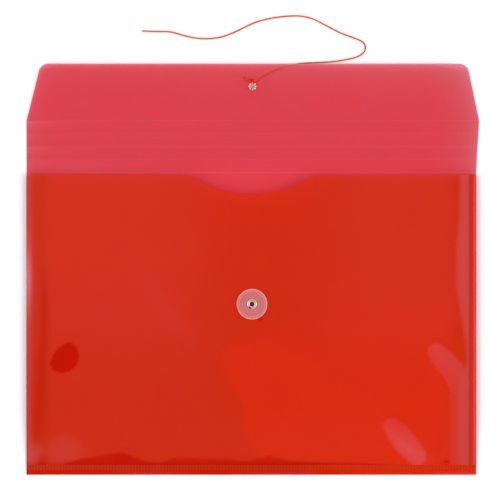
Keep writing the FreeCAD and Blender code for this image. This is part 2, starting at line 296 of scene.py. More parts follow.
class ShapeTree(Tree):
    """A Geometry Nodes tree with named inputs, whose result is kept as a plain mesh."""

    def __init__(self, name: str, inputs: dict[str, str]) -> None:
        """Starts an empty tree.

        Args:
            name: Name of the tree.
            inputs: Kind of each input socket by its name.
        """
        group = bpy.data.node_groups.new(name, "GeometryNodeTree")
        for key, kind in inputs.items():
            group.interface.new_socket(key, in_out="INPUT", socket_type="NodeSocket" + kind)
        group.interface.new_socket("Geometry", in_out="OUTPUT", socket_type="NodeSocketGeometry")
        super().__init__(group)
        self.given = self.add("NodeGroupInput").outputs

    def finish(self, shape: Socket, coat: str) -> None:
        """Joins the shape to the output, as real faces with the material of the input coat."""
        real = self.add("GeometryNodeRealizeInstances", {0: shape}).outputs[0]
        coated = self.add("GeometryNodeSetMaterial", {"Geometry": real, "Material": self.given[coat]})
        self.add("NodeGroupOutput", {0: coated.outputs[0]})

    def run(self, piece: Object, values: dict[str, object]) -> Mesh:
        """Runs the tree on a piece.

        Args:
            piece: The object that the tree works on; no modifier is left on it.
            values: Values of the tree's inputs by name.

        Returns:
            The result as a plain mesh, with its faces outwards.
        """
        modifier = piece.modifiers.new(self.tree.name, "NODES")
        modifier.node_group = self.tree
        for item in self.tree.interface.items_tree:
            if item.item_type == "SOCKET" and item.in_out == "INPUT" and item.name in values:
                modifier[item.identifier] = values[item.name]
        bpy.context.view_layer.update()
        evaluated = piece.evaluated_get(bpy.context.evaluated_depsgraph_get())
        mesh = bpy.data.meshes.new_from_object(evaluated)
        piece.modifiers.remove(modifier)
        point_outwards(mesh)
        return mesh


# ---------------------------------------------------------------- finishes
@dataclass(frozen=True)
class FilmFinish:
    """Translucent red polypropylene film: each face tints what it lets through and scatters a little.

    Mesh attributes say where the film differs from its plain places: haze (stress-whitened or
    rubbed film, and painted highlights and reflections), wet (films that cling to each other,
    darker and clearer) and painted_light (painted shade and light, from -1, duller over the
    folds, to 1, brighter where the films lie smooth). The attribute skin is 1 on the sheet's
    matt face, which scatters most, and 0 on its smooth face.
    """

    name: str = "red_film"
    tint: Colour = (0.945, 0.71, 0.899)     # what one face lets through
    wet_tint: Colour = (0.90, 0.42, 0.42)   # the same where films cling
    dull: Colour = (0.745, 0.0355, 0.0030)  # what the pigment scatters, in painted shade
    bright: Colour = (0.945, 0.0355, 0.0003)    # and in painted light
    wet_body: Colour = (0.72, 0.009, 0.0003)
    pale: Colour = (0.75, 0.42, 0.56)       # whitened film
    share: float = 0.62                     # of the matt face that scatters
    smooth_share: float = 0.16              # of the smooth face
    haze_gain: float = 0.25
    cloudiness: float = 0.025               # uneven scatter, more and less
    roughness: float = 0.16

    def build(self) -> Material:
        """Makes the film's material."""
        tree = PaintTree(self.name)
        sheet = tree.add("UVMap", uv_map="sheet").outputs["UV"]
        haze, wet = tree.attribute("haze"), tree.attribute("wet")
        grain = tree.noise(sheet, 2600.0, 2.0)
        plain_share = tree.between(tree.attribute("skin"), self.smooth_share, self.share)
        cloudy = tree.between(tree.noise(sheet, 28.0, 3.0), -self.cloudiness, self.cloudiness)
        more = tree.sum("MULTIPLY", haze, self.haze_gain)
        share = tree.sum("ADD", tree.sum("ADD", plain_share, cloudy), more, clamp=True)
        lit_level = tree.add("MapRange", {"Value": tree.attribute("painted_light"), "From Min": -1.0}).outputs[0]
        dry = tree.mix_colour(lit_level, self.dull, self.bright)
        colour = tree.mix_colour(haze, tree.mix_colour(wet, dry, self.wet_body), self.pale)
        fine = tree.bump(grain, 0.10, 0.05 * MM)
        broad = tree.bump(tree.noise(sheet, 55.0, 2.0), 0.25, 0.6 * MM, Normal=fine)
        clear = tree.add("BsdfTransparent", {"Color": tree.mix_colour(wet, self.tint, self.wet_tint)})
        solid = tree.add("BsdfPrincipled", {
            "Base Color": colour, "Normal": broad, "IOR": 1.5, "Specular IOR Level": 0.5,
            "Roughness": tree.between(grain, self.roughness - 0.05, self.roughness + 0.06),
            "Coat Weight": 0.4, "Coat Roughness": 0.10, "Coat IOR": 1.6})
        return tree.blend_shaders(share, clear, solid)


@dataclass(frozen=True)
class WeldFinish(FilmFinish):
    """Back, gusset and front pressed into one thickness by the knurled weld: a deeper red."""

    name: str = "welded_film"
    tint: Colour = (0.78, 0.28, 0.28)
    wet_tint: Colour = (0.66, 0.20, 0.20)
    # The pigment's scatter in painted shade (dull) and in painted light (bright).
    dull: Colour = (0.58, 0.022, 0.0015)
    bright: Colour = (0.90, 0.040, 0.0020)
    share: float = 0.66


@dataclass(frozen=True)
class JoinFinish:
    """The cut faces inside the sheet, where one piece of film goes on as the next: nearly nothing."""

    name: str = "film_join"
    tint: Colour = (0.99, 0.97, 0.97)

    def build(self) -> Material:
        """Makes the clear material."""
        tree = PaintTree(self.name)
        return tree.finish(tree.add("BsdfTransparent", {"Color": (*self.tint, 1)}))


@dataclass(frozen=True)
class DiscFinish:
    """Milky, slightly translucent moulded plastic of the button disc, nearly white at its rim."""

    name: str = "milky_disc"
    tint: Colour = (0.995, 0.95, 0.965)
    body: Colour = (0.97, 0.76, 0.82)
    rim: Colour = (1.0, 0.84, 0.72)
    share: float = 0.075
    rim_share: float = 0.62
    roughness: float = 0.30

    def build(self) -> Material:
        """Makes the disc's material; thick places, which the attribute haze marks, are milkier."""
        tree = PaintTree(self.name)
        haze = tree.attribute("haze")
        grain = tree.noise(tree.add("TexCoord").outputs["Object"], 900.0, 2.0)
        clear = tree.add("BsdfTransparent", {"Color": (*self.tint, 1)})
        solid = tree.add("BsdfPrincipled", {
            "Base Color": tree.mix_colour(haze, self.body, self.rim),
            "Roughness": tree.between(grain, self.roughness - 0.05, self.roughness + 0.08),
            "Normal": tree.bump(grain, 0.15, 0.03 * MM), "Coat Weight": 0.5, "Coat Roughness": 0.15})
        return tree.blend_shaders(tree.between(haze, self.share, self.rim_share), clear, solid)


@dataclass(frozen=True)
class MetalFinish:
    """Nickel-plated brass of the rivet, its washer and the eyelet, with fine drawn marks.

    The attribute haze is 1 where the rolled metal has torn; the near-black colour there is painted shade in
    the split.
    """

    name: str = "plated_metal"
    colour: Colour = (0.88, 0.85, 0.76)
    worn: Colour = (0.66, 0.61, 0.51)
    # Near-black painted shade for the torn split.
    seam: Colour = (0.10, 0.075, 0.04)
    roughness: float = 0.24

    def build(self) -> Material:
        """Makes the metal."""
        tree = PaintTree(self.name)
        place = tree.add("TexCoord").outputs["Object"]
        marks = tree.noise(place, 1500.0, 4.0)
        plating = tree.mix_colour(tree.noise(place, 420.0, 3.0), self.colour, self.worn)
        return tree.finish(tree.add("BsdfPrincipled", {
            "Base Color": tree.mix_colour(tree.attribute("haze"), plating, self.seam), "Metallic": 1.0,
            "Roughness": tree.between(marks, self.roughness - 0.06, self.roughness + 0.14),
            "Normal": tree.bump(marks, 0.2, 0.04 * MM)}))


@dataclass(frozen=True)
class StringFinish:
    """Waxed orange-red cotton string, fibres along its strands."""

    name: str = "tie_cotton"
    colour: Colour = (0.82, 0.165, 0.006)
    dark: Colour = (0.58, 0.083, 0.002)
    roughness: float = 0.8

    def build(self) -> Material:
        """Makes the string's material from its UV map: U round a strand, V along it."""
        tree = PaintTree(self.name)
        along = tree.add("UVMap", uv_map="sheet").outputs["UV"]
        stretch = tree.add("Mapping", {"Vector": along, "Scale": (9.0, 700.0, 1.0)}).outputs[0]
        fibre = tree.noise(stretch, 1.0, 4.0)
        patch = tree.noise(tree.add("TexCoord").outputs["Object"], 160.0, 2.0)
        shade = tree.sum("MULTIPLY", fibre, patch)
        share = tree.add("MapRange", {"Value": shade, "From Min": 0.12, "From Max": 0.42}).outputs[0]
        return tree.finish(tree.add("BsdfPrincipled", {
            "Base Color": tree.mix_colour(share, self.dark, self.colour), "Roughness": self.roughness,
            "Normal": tree.bump(fibre, 0.5, 0.05 * MM), "Specular IOR Level": 0.25,
            "Sheen Weight": 0.05, "Sheen Roughness": 0.5}))


@dataclass(frozen=True)
class Finishes:
    """Every material of the wallet."""

    film: Material
    weld: Material
    join: Material
    disc: Material
    metal: Material
    string: Material

    @classmethod
    def build(cls) -> "Finishes":
        """Makes all the materials."""
        return cls(FilmFinish().build(), WeldFinish().build(), JoinFinish().build(),
                   DiscFinish().build(), MetalFinish().build(), StringFinish().build())


# ---------------------------------------------------------------- meshes
def new_piece(name: str, mesh: Mesh) -> Object:
    """An object at the origin for a mesh whose place is in its vertices."""
    piece = bpy.data.objects.new(name, mesh)
    bpy.context.scene.collection.objects.link(piece)
    return piece


def dress(node: Object, material: Material) -> None:
    """Gives an object one finish in place of what it had."""
    node.data.materials.clear()
    node.data.materials.append(material)


def write_points(mesh: Mesh, name: str, values: Array) -> None:
    """Stores a number for each vertex as a mesh attribute."""
    attribute = mesh.attributes.new(name, "FLOAT", "POINT")
    attribute.data.foreach_set("value", np.asarray(values, np.float32).ravel())


def write_uv(mesh: Mesh, places: Array) -> None:
    """Stores a UV map named sheet from one place for each vertex."""
    corners = np.empty(len(mesh.loops), np.int32)
    mesh.loops.foreach_get("vertex_index", corners)
    layer = mesh.uv_layers.new(name="sheet")
    layer.data.foreach_set("uv", np.asarray(places, np.float32)[corners].ravel())


def surface_normals(grid: Array) -> Array:
    """Normals of a grid of points with rows, columns and X, Y, Z."""
    across = np.gradient(grid, axis=1)
    along = np.gradient(grid, axis=0)
    normal = np.cross(across, along)
    return normal / np.linalg.norm(normal, axis=2, keepdims=True)


@dataclass
class Hole:
    """A round hole through film."""

    x: float
    y: float
    radius: float

    def lines(self, centre: float) -> list[float]:
        """Grid lines that frame the hole about its centre on one axis."""
        return [centre - self.radius, centre, centre + self.radius]


@dataclass
class FilmSheet:
    """A thin closed shell of film about a grid of points on its middle surface.

    Attributes:
        name: Name of the piece.
        middle: Rows, columns and X, Y, Z.
        along: Distance along the sheet of every grid point, for the UV map.
        thickness: Of the film, one number or one for each grid point.
        haze: Whitening, and painted highlights and reflections, of every grid point.
        wet: Clinging of every grid point.
        painted_light: Painted shade (below 0) or painted light (above 0) of every grid point.
        across: Distance across the sheet of every grid point, or None for its X.
        cuts: Rims where the sheet goes on as another piece.
        hole: Round hole, or None.
    """

    name: str
    middle: Array
    along: Array
    thickness: Array
    haze: Array = field(default_factory=lambda: np.zeros(1))
    wet: Array = field(default_factory=lambda: np.zeros(1))
    painted_light: Array = field(default_factory=lambda: np.zeros(1))
    across: Optional[Array] = None
    cuts: Sequence[Rim] = ()
    hole: Optional[Hole] = None

    def build(self, finishes: Finishes) -> Object:
        """Makes the piece with its film finish.

        Args:
            finishes: Materials of the wallet.

        Returns:
            The new object, with its UV map sheet and its attributes haze, wet, glow and skin.
        """
        rows, columns = self.middle.shape[:2]
        count = rows * columns
        half = np.broadcast_to(np.asarray(self.thickness) / 2, (rows, columns))[:, :, None]
        normal = surface_normals(self.middle)
        over = (self.middle + normal * half).reshape(-1, 3)
        under = (self.middle - normal * half).reshape(-1, 3)
        first = (np.arange(rows - 1)[:, None] * columns + np.arange(columns - 1)).ravel()
        quads = np.stack([first, first + 1, first + 1 + columns, first + columns], axis=1)
        if self.hole:
            quads = self._cut_hole(quads, over, under)
        edges = self._open_edges(quads, count)
        walls = [(b, a, a + count, b + count) for a, b in edges]
        faces = quads.tolist() + (quads[:, ::-1] + count).tolist() + walls
        mesh = bpy.data.meshes.new(self.name)
        mesh.from_pydata(np.concatenate([over, under]).tolist(), [], faces)
        mesh.materials.append(finishes.film)
        mesh.materials.append(finishes.join)
        slots = np.zeros(len(faces), np.int32)
        slots[len(quads) * 2:] = [int(self._is_cut(a, b, rows, columns)) for a, b in edges]
        mesh.polygons.foreach_set("material_index", slots)
        mesh.shade_smooth()
        self._sharpen(mesh, edges, count)
        across = self.middle[:, :, 0] if self.across is None else self.across
        places = np.stack([across, self.along], axis=2).reshape(-1, 2)
        write_uv(mesh, np.concatenate([places, places]))
        for name, values in (("haze", self.haze), ("wet", self.wet), ("painted_light", self.painted_light)):
            flat = np.broadcast_to(values, (rows, columns)).ravel()
            write_points(mesh, name, np.concatenate([flat, flat]))
        write_points(mesh, "skin", np.repeat((1.0, 0.0), count))
        dropped = self._drop_loose(mesh)
        LOG.info("%s: %d faces, %d loose points dropped", self.name, len(mesh.polygons), dropped)
        return new_piece(self.name, mesh)

    def _cut_hole(self, quads: Array, over: Array, under: Array) -> Array:
        """Leaves out the quads in the hole and draws its rim to a circle."""
        centre = np.array([self.hole.x, self.hole.y])
        middles = over[quads][:, :, :2].mean(axis=1)
        inside = np.linalg.norm(middles - centre, axis=1) < self.hole.radius
        rim = np.intersect1d(quads[inside], quads[~inside])
        for face in (over, under):
            offset = face[rim, :2] - centre
            distance = np.linalg.norm(offset, axis=1, keepdims=True)
            face[rim, :2] = centre + offset / distance * self.hole.radius
        return quads[~inside]

    @staticmethod
    def _open_edges(quads: Array, count: int) -> list[tuple[int, int]]:
        """Edges of the upper face that only one quad has, in that quad's direction."""
        starts = quads.ravel()
        ends = np.roll(quads, -1, axis=1).ravel()
        forward = starts.astype(np.int64) * count + ends
        backward = ends.astype(np.int64) * count + starts
        alone = ~np.isin(forward, backward)
        return list(zip(starts[alone].tolist(), ends[alone].tolist()))

    def _is_cut(self, a: int, b: int, rows: int, columns: int) -> bool:
        """True if the edge lies on a rim where the sheet goes on."""
        on = {
            Rim.FIRST_ROW: a < columns and b < columns,
            Rim.LAST_ROW: min(a, b) >= (rows - 1) * columns,
            Rim.FIRST_COLUMN: a % columns == 0 and b % columns == 0,
            Rim.LAST_COLUMN: (a + 1) % columns == 0 and (b + 1) % columns == 0,
        }
        return any(on[rim] for rim in self.cuts)

    @staticmethod
    def _sharpen(mesh: Mesh, edges: list[tuple[int, int]], count: int) -> None:
        """Keeps the shading of the two faces apart from that of the thin walls."""
        pairs = np.empty(len(mesh.edges) * 2, np.int32)
        mesh.edges.foreach_get("vertices", pairs)
        pairs = np.sort(pairs.reshape(-1, 2).astype(np.int64), axis=1)
        rims = np.sort(np.array(edges, np.int64), axis=1)
        size = count * 4
        wanted = np.concatenate([rims, rims + count])
        sharp = np.isin(pairs[:, 0] * size + pairs[:, 1], wanted[:, 0] * size + wanted[:, 1])
        layer = mesh.attributes.new("sharp_edge", "BOOLEAN", "EDGE")
        layer.data.foreach_set("value", sharp)

    @staticmethod
    def _drop_loose(mesh: Mesh) -> int:
        """Removes points that no face uses, such as those in a hole."""
        with edited(mesh) as work:
            loose = [v for v in work.verts if not v.link_faces]
            bmesh.ops.delete(work, geom=loose, context="VERTS")
        return len(loose)


def tube_faces(rings: int, sides: int, closed: bool) -> Array:
    """Faces of a tube from ring to ring.

    Args:
        rings: Number of rings of points.
        sides: Points in a ring.
        closed: True if the last ring goes on to the first.

    Returns:
        Numbers of the four points of each face.
    """
    ring, side = np.meshgrid(np.arange(rings if closed else rings - 1), np.arange(sides), indexing="ij")
    onward, after = (ring + 1) % rings, (side + 1) % sides
    corners = [ring * sides + side, ring * sides + after, onward * sides + after, onward * sides + side]
    return np.stack(corners, axis=2).reshape(-1, 4)


def turned_piece(name: str, profile: Sequence[tuple[float, float]], x: float, y: float,
                 steps: int, material: Material,
                 haze: Optional[Callable[[Array], Array]] = None,
                 shift: Optional[Callable[[Array], Array]] = None) -> Object:
    """A closed ring turned about an upright axis.

    Args:
        name: Name of the piece.
        profile: Closed outline of (radius, z) points, in rising angle round its own middle.
        x: Place of the axis.
        y: Place of the axis.
        steps: Number of steps round the axis.
        material: Finish.
        haze: The attribute haze from the points (n by 3, about the axis), or None.
        shift: Moves points (n by 3, about the axis), or None.

    Returns:
        The new object.
    """
    outline = np.array(profile)
    turn = np.linspace(0, FULL_TURN, steps, endpoint=False)
    radius, height = outline[:, 0][None, :], outline[:, 1][None, :]
    points = np.stack([
        np.cos(turn)[:, None] * radius, np.sin(turn)[:, None] * radius,
        np.broadcast_to(height, (steps, len(outline)))], axis=2).reshape(-1, 3)
    if shift:
        points = shift(points)
    faces = tube_faces(steps, len(outline), closed=True)[:, [0, 3, 2, 1]]
    mesh = bpy.data.meshes.new(name)
    mesh.from_pydata((points + np.array([x, y, 0])).tolist(), [], faces.tolist())
    mesh.materials.append(material)
    mesh.shade_smooth()
    if haze:
        write_points(mesh, "haze", haze(points))
    point_outwards(mesh)
    sharpen_by_angle(mesh, 38)
    return new_piece(name, mesh)


@contextmanager
def edited(mesh: Mesh) -> Iterator[bmesh.types.BMesh]:
    """Opens a mesh for edits and writes it back."""
    work = bmesh.new()
    work.from_mesh(mesh)
    yield work
    work.to_mesh(mesh)
    work.free()


def point_outwards(mesh: Mesh) -> None:
    """Turns the faces of a closed shape outwards."""
    with edited(mesh) as work:
        bmesh.ops.remove_doubles(work, verts=work.verts, dist=1e-7)
        bmesh.ops.recalc_face_normals(work, faces=work.faces)


def sharpen_by_angle(mesh: Mesh, degrees: float) -> None:
    """Marks edges sharper than an angle as sharp."""
    limit = math.radians(degrees)
    with edited(mesh) as work:
        for edge in work.edges:
            edge.smooth = len(edge.link_faces) == 2 and edge.calc_face_angle(0) < limit


def rounded(corners: Sequence[tuple[float, float]], radius: float) -> list[tuple[float, float]]:
    """Rounds the corners of a closed outline.

    Args:
        corners: Points of the outline.
        radius: How far each rounding reaches along its shorter side, at most.

    Returns:
        Points of the rounded outline.
    """
    points = []
    for number, corner in enumerate(corners):
        here = np.array(corner)
        before = np.array(corners[number - 1]) - here
        after = np.array(corners[(number + 1) % len(corners)]) - here
        reach = min(radius, 0.48 * np.linalg.norm(before), 0.48 * np.linalg.norm(after))
        start = here + before / np.linalg.norm(before) * reach
        end = here + after / np.linalg.norm(after) * reach
        for share in np.linspace(0, 1, 4):
            place = start * (1 - share) ** 2 + here * 2 * share * (1 - share) + end * share ** 2
            points.append((float(place[0]), float(place[1])))
    return points


def stepped(outline: Sequence[tuple[float, float]], step: float) -> list[tuple[float, float]]:
    """The same closed outline with points added, so that none are further than a step apart."""
    points = []
    for (a, b), (c, d) in zip(outline, [*outline[1:], outline[0]]):
        count = max(1, math.ceil(math.hypot(c - a, d - b) / step))
        points += [(a + (c - a) * n / count, b + (d - b) * n / count) for n in range(count)]
    return points


# ---------------------------------------------------------------- string
def smooth_line(points: Sequence[Point]) -> Array:
    """Points along the NURBS spline that a route's points control."""
    curve = bpy.data.curves.new("route", "CURVE")
    curve.dimensions = "3D"
    curve.resolution_u = 12
    spline = curve.splines.new("NURBS")
    spline.points.add(len(points) - 1)
    spline.points.foreach_set("co", np.array([(*p, 1.0) for p in points]).ravel())
    spline.order_u = 3
    spline.use_endpoint_u = True
    carrier = bpy.data.objects.new("route", curve)
    bpy.context.scene.collection.objects.link(carrier)
    bpy.context.view_layer.update()
    evaluated = carrier.evaluated_get(bpy.context.evaluated_depsgraph_get())
    mesh = bpy.data.meshes.new_from_object(evaluated)
    line = np.array([v.co for v in mesh.vertices])
    bpy.data.objects.remove(carrier)
    bpy.data.curves.remove(curve)
    bpy.data.meshes.remove(mesh)
    return line


def even_steps(line: Array, step: float) -> Array:
    """Points at even steps along a line of points."""
    lengths = np.concatenate([[0], np.cumsum(np.linalg.norm(np.diff(line, axis=0), axis=1))])
    count = max(2, round(lengths[-1] / step) + 1)
    wanted = np.linspace(0, lengths[-1], count)
    return np.stack([np.interp(wanted, lengths, line[:, axis]) for axis in range(3)], axis=1)


def carried_frames(line: Array) -> tuple[Array, Array]:
    """Two directions across a line at each of its points, carried along it without twist."""
    tangents = np.gradient(line, axis=0)
    tangents /= np.linalg.norm(tangents, axis=1, keepdims=True)
    first = np.cross(tangents[0], (0.0, 0.0, 1.0))
    first /= np.linalg.norm(first)
    sides = [first]
    for tangent in tangents[1:]:
        side = sides[-1] - tangent * np.dot(sides[-1], tangent)
        sides.append(side / np.linalg.norm(side))
    side = np.array(sides)
    return side, np.cross(tangents, side)


@dataclass(frozen=True)
class TwistedString:
    """Three strands laid round each other.

    Attributes:
        diameter: Over the strands.
        strand: Radius of one strand, as a share of the whole radius.
        lay: Length of one full turn of a strand.
        strands: Their number.
        sides: Points round one strand.
        step: Between rings of points.
        fray: How far the strands open at a cut end.
        frayed_length: Over which they open.
        strand_shift: From strand to strand along the UV map, so that their fibres differ.
    """

    diameter: float = 1.24 * MM
    strand: float = 0.58
    lay: float = 3.4 * MM
    strands: int = 3
    sides: int = 7
    step: float = 0.42 * MM
    fray: float = 0.12 * MM
    frayed_length: float = 1.6 * MM
    strand_shift: float = 0.0137

    def build(self, name: str, line: Array, material: Material,
              closed: bool = False) -> Object:
        """Lays the strands along a line.

        Args:
            name: Name of the piece.
            line: Points along the string's middle.
            material: Finish.
            closed: True for a ring of string.

        Returns:
            The new object.
        """
        places = even_steps(line, self.step)[:-1 if closed else None]
        side, up = carried_frames(places)
        rings = len(places)
        along = np.arange(rings) * self.step
        strand_radius = self.diameter / 2 * self.strand
        opened = 0.0 if closed else self.fray * ease(along, along[-1] - self.frayed_length, along[-1])
        offset = np.broadcast_to(self.diameter / 2 - strand_radius + opened, rings)[:, None]
        number = np.arange(self.strands)[:, None]
        turn = FULL_TURN * (along / self.lay + number / self.strands)[..., None]
        middle = places + (side * np.cos(turn) + up * np.sin(turn)) * offset
        corner = np.arange(self.sides) / self.sides
        angle = (FULL_TURN * corner + turn)[..., None]
        around = side[:, None] * np.cos(angle) + up[:, None] * np.sin(angle)
        points = (middle[:, :, None] + around * strand_radius).reshape(-1, 3)
        places_along = (along + number * self.strand_shift)[..., None]
        uv = np.stack(np.broadcast_arrays(corner, places_along), axis=-1).reshape(-1, 2)
        faces = []
        for base in range(0, len(points), rings * self.sides):
            faces += (tube_faces(rings, self.sides, closed) + base).tolist()
            if not closed:
                end = base + (rings - 1) * self.sides
                faces.append(list(range(base + self.sides - 1, base - 1, -1)))
                faces.append(list(range(end, end + self.sides)))
        mesh = bpy.data.meshes.new(name)
        mesh.from_pydata(points.tolist(), [], faces)
        write_uv(mesh, uv)
        mesh.materials.append(material)
        mesh.shade_smooth()
        point_outwards(mesh)
        return new_piece(name, mesh)


@dataclass
class TieString:
    """The string: a loop round the eyelet, a knot, a short tail and the free length.

    The routes are offsets in X and Y from the eyelet, with the height of the string's middle, in
    millimetres as in the frame's own source.
    """

    eyelet: Vector
    laid: TwistedString = field(default_factory=TwistedString)
    frayed: TwistedString = TwistedString(diameter=1.35 * MM, strand=0.54, fray=0.35 * MM)
    tight: TwistedString = TwistedString(diameter=1.05 * MM, strand=0.60, lay=2.6 * MM)
    nominal: float = 1.0 * MM
    knot_offset: tuple[float, float] = (-0.9 * MM, 5.25 * MM)
    knot_height: float = 0.97 * MM
    knot_scale: tuple[float, float] = (0.52 * MM, 0.38 * MM)
    knot_flat: float = 0.34 * MM
    loop_radius: float = 2.3 * MM
    loop_height: float = 1.2 * MM
    length: float = 290.0 * MM
    route: tuple[Point, ...] = (
        (-0.2, 4.2, 0.95), (1.8, 3.4, 0.85), (3.6, 4.1, 0.7), (5.4, 5.8, 0.65), (7.6, 7.4, 0.65),
        (10.8, 9.7, 0.65), (16.8, 12.5, 0.65), (26.5, 16.1, 0.65), (37.5, 19.0, 0.65),
        (49.5, 19.6, 0.65), (63.5, 20.1, 0.65), (77.0, 22.0, 0.65), (87.5, 24.6, 0.65),
        (93.2, 30.1, 0.65), (91.4, 36.6, 0.65), (83.5, 39.7, 0.65), (72.0, 43.8, 0.65),
        (61.0, 49.6, 0.65), (50.5, 55.4, 0.65), (39.5, 58.1, 0.65), (27.0, 57.7, 0.65),
        (13.0, 55.8, 0.65), (0.5, 52.2, 0.65), (-11.5, 46.0, 0.65), (-23.5, 40.8, 0.65),
        (-35.5, 39.0, 0.65), (-47.5, 39.6, 0.65), (-59.0, 42.6, 0.65), (-67.5, 45.2, 0.65),
        (-79.0, 45.0, 0.65), (-90.3, 45.6, 0.76),
    )
    tail: tuple[Point, ...] = (
        (-1.8, 5.4, 0.95), (-3.9, 4.7, 0.95), (-6.2, 5.3, 1.0), (-6.7, 8.0, 1.1),
    )

    def placed(self, offsets: Iterable[Point]) -> list[Point]:
        """A route's points in the frame, in metres."""
        return [(self.eyelet.x + dx * MM, self.eyelet.y + dy * MM, z * MM) for dx, dy, z in offsets]

    def build(self, finishes: Finishes) -> None:
        free_line = smooth_line(self.placed(self.route))
        free = self.laid.build("tie_string_laid", free_line, finishes.string)
        tail = self.frayed.build("string_tail_laid", smooth_line(self.placed(self.tail)), finishes.string)
        loop = self.tight.build("string_loop_laid", self.loop_line(), finishes.string)
        knot = self.tight.build("string_knot_tied", self.knot_line(), finishes.string, closed=True)
        for piece, node in ((free, "tie_string"), (tail, "string_tail"),
                            (loop, "string_loop"), (knot, "string_knot")):
            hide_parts(node)
            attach(piece, Panel.FLAP.value)
        LOG.info("string: free length, tail, loop and knot")

    def knot_line(self) -> Array:
        """A tight overhand knot's middle line, closed on itself."""
        turn = np.linspace(0, FULL_TURN, 97)
        x = (np.sin(turn) + 2 * np.sin(2 * turn)) * self.knot_scale[0]
        y = (np.cos(turn) - 2 * np.cos(2 * turn)) * self.knot_scale[1]
        z = -np.sin(3 * turn) * self.knot_flat
        centre = (self.eyelet.x + self.knot_offset[0], self.eyelet.y + self.knot_offset[1], self.knot_height)
        return np.stack([x, y, z], axis=1) + np.array(centre)

    def loop_line(self) -> Array:
        """The loop's middle line: from the knot round the eyelet's tube and back."""
        knot = Vector((self.knot_offset[0], self.knot_offset[1]))
        turns = np.radians(np.linspace(53, -233, 15))
        ring = [(math.cos(t) * self.loop_radius, math.sin(t) * self.loop_radius) for t in turns]
        ends = [(knot.x + 0.75 * MM, knot.y - 1.1 * MM), (knot.x - 0.75 * MM, knot.y - 1.1 * MM)]
        flat = [ends[0], *ring, ends[1]]
        return smooth_line([(self.eyelet.x + x, self.eyelet.y + y, self.loop_height) for x, y in flat])


# ---------------------------------------------------------------- body film
@dataclass
class PocketShape:
    """Heights of the pocket's film at rest.

    Attributes:
        places: Main places of the wallet.
        nose: Outer radius of the side folds.
        inner_nose: Outer radius of the gusset's inner fold.
        ramp_length: Over which the front rises from the bottom weld to its full height.
        shoulder_left: Reach and drop of the front film towards its left side fold.
        shoulder_right: The same on the right.
        overlap_width: Of the strip that is welded over the front's right edge.
        waviness: Height of the front film's soft waves, which calm down at its rims and button.
        ridges: Soft folds of the front film, in millimetres: x and y of both ends, reach, height.
    """

    places: Places
    nose: float = 0.85 * MM
    inner_nose: float = 0.45 * MM
    ramp_length: float = 40.0 * MM
    shoulder_left: tuple[float, float] = (12.0 * MM, 0.75 * MM)
    shoulder_right: tuple[float, float] = (22.0 * MM, 1.25 * MM)
    overlap_width: float = 5.5 * MM
    waviness: float = 0.16 * MM
    ridges: tuple[tuple[float, float, float, float, float, float], ...] = (
        (112.0, -80.0, 143.0, -108.0, 7.5, 0.9),
        (150.0, -18.0, 170.0, -52.0, 7.0, 0.7),
    )

    @property
    def slot(self) -> float:
        """Height of the front panel's underside at the weld."""
        return self.places.weld_top - self.places.film

    def front_middle(self, x: Array, y: Array) -> Array:
        """Height of the middle of the front film at x, y."""
        rise = self.places.front_under - self.slot
        share = (y - self.places.pocket_y) / self.ramp_length
        soft = 0.10
        level = -soft * np.logaddexp(-share / soft, -1 / soft)
        height = self.slot + rise * level + self.places.film / 2
        height = height - self.drop(x) * np.clip(level, 0, 1)
        for x0, y0, x1, y1, reach, tall in self.ridges:
            height = height + self.ridge(x, y, (x0 * MM, y0 * MM), (x1 * MM, y1 * MM), reach * MM, tall * MM)
        waves = np.sin(x * 61 + y * 17 + 0.6) * np.sin(y * 43 - x * 9 + 1.1) * self.waviness
        free = np.clip(level, 0, 1) * (1 - bell(x, y, (0, 16), (22, 22)))
        return height + waves * free * ramp(self.places.half_width - np.abs(x), 0, 30)

    def drop(self, x: Array) -> Array:
        """How far the front film has come down towards its side folds at x."""
        half = self.places.half_width
        left = ease(x, -half + self.shoulder_left[0], -half) * self.shoulder_left[1]
        right = ease(x, half - self.shoulder_right[0], half) * self.shoulder_right[1]
        return left + right

    @staticmethod
    def ridge(x: Array, y: Array, start: tuple[float, float], end: tuple[float, float],
              reach: float, tall: float) -> Array:
        """A soft ridge between two places that fades out at both ends."""
        step = np.array(end) - np.array(start)
        share = ((x - start[0]) * step[0] + (y - start[1]) * step[1]) / (step @ step)
        inside = np.clip(share, 0, 1)
        away = np.hypot(x - start[0] - inside * step[0], y - start[1] - inside * step[1])
        return tall * np.exp(-(away / reach) ** 2) * (0.45 + 0.55 * np.sin(math.pi * inside))


@dataclass
class BackFilm:
    """The back panel, flat on the floor, up to half-way between the pocket's mouth and the flap."""

    shape: PocketShape
    end_y: float
    grid_step: float = 6.0 * MM

    def build(self, finishes: Finishes) -> None:
        """Makes the back panel's film."""
        places = self.shape.places
        reach = places.half_width - self.shape.nose
        columns = spread(-reach, reach, self.grid_step)
        rows = spread(places.pocket_y, self.end_y, self.grid_step)
        x, y = np.meshgrid(columns, rows)
        middle = np.stack([x, y, np.full_like(x, places.film / 2)], axis=2)
        # Painted light behind the thumb notch, where the front's edge shades the back film.
        painted_light = FlapShape.painted_light(x, y - places.score_y)
        piece = FilmSheet("back_film", middle, y - places.score_y, places.film, painted_light=painted_light,
                          cuts=(Rim.LAST_ROW, Rim.FIRST_COLUMN, Rim.LAST_COLUMN)).build(finishes)
        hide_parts("back_panel")
        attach(piece, Panel.BODY.value)


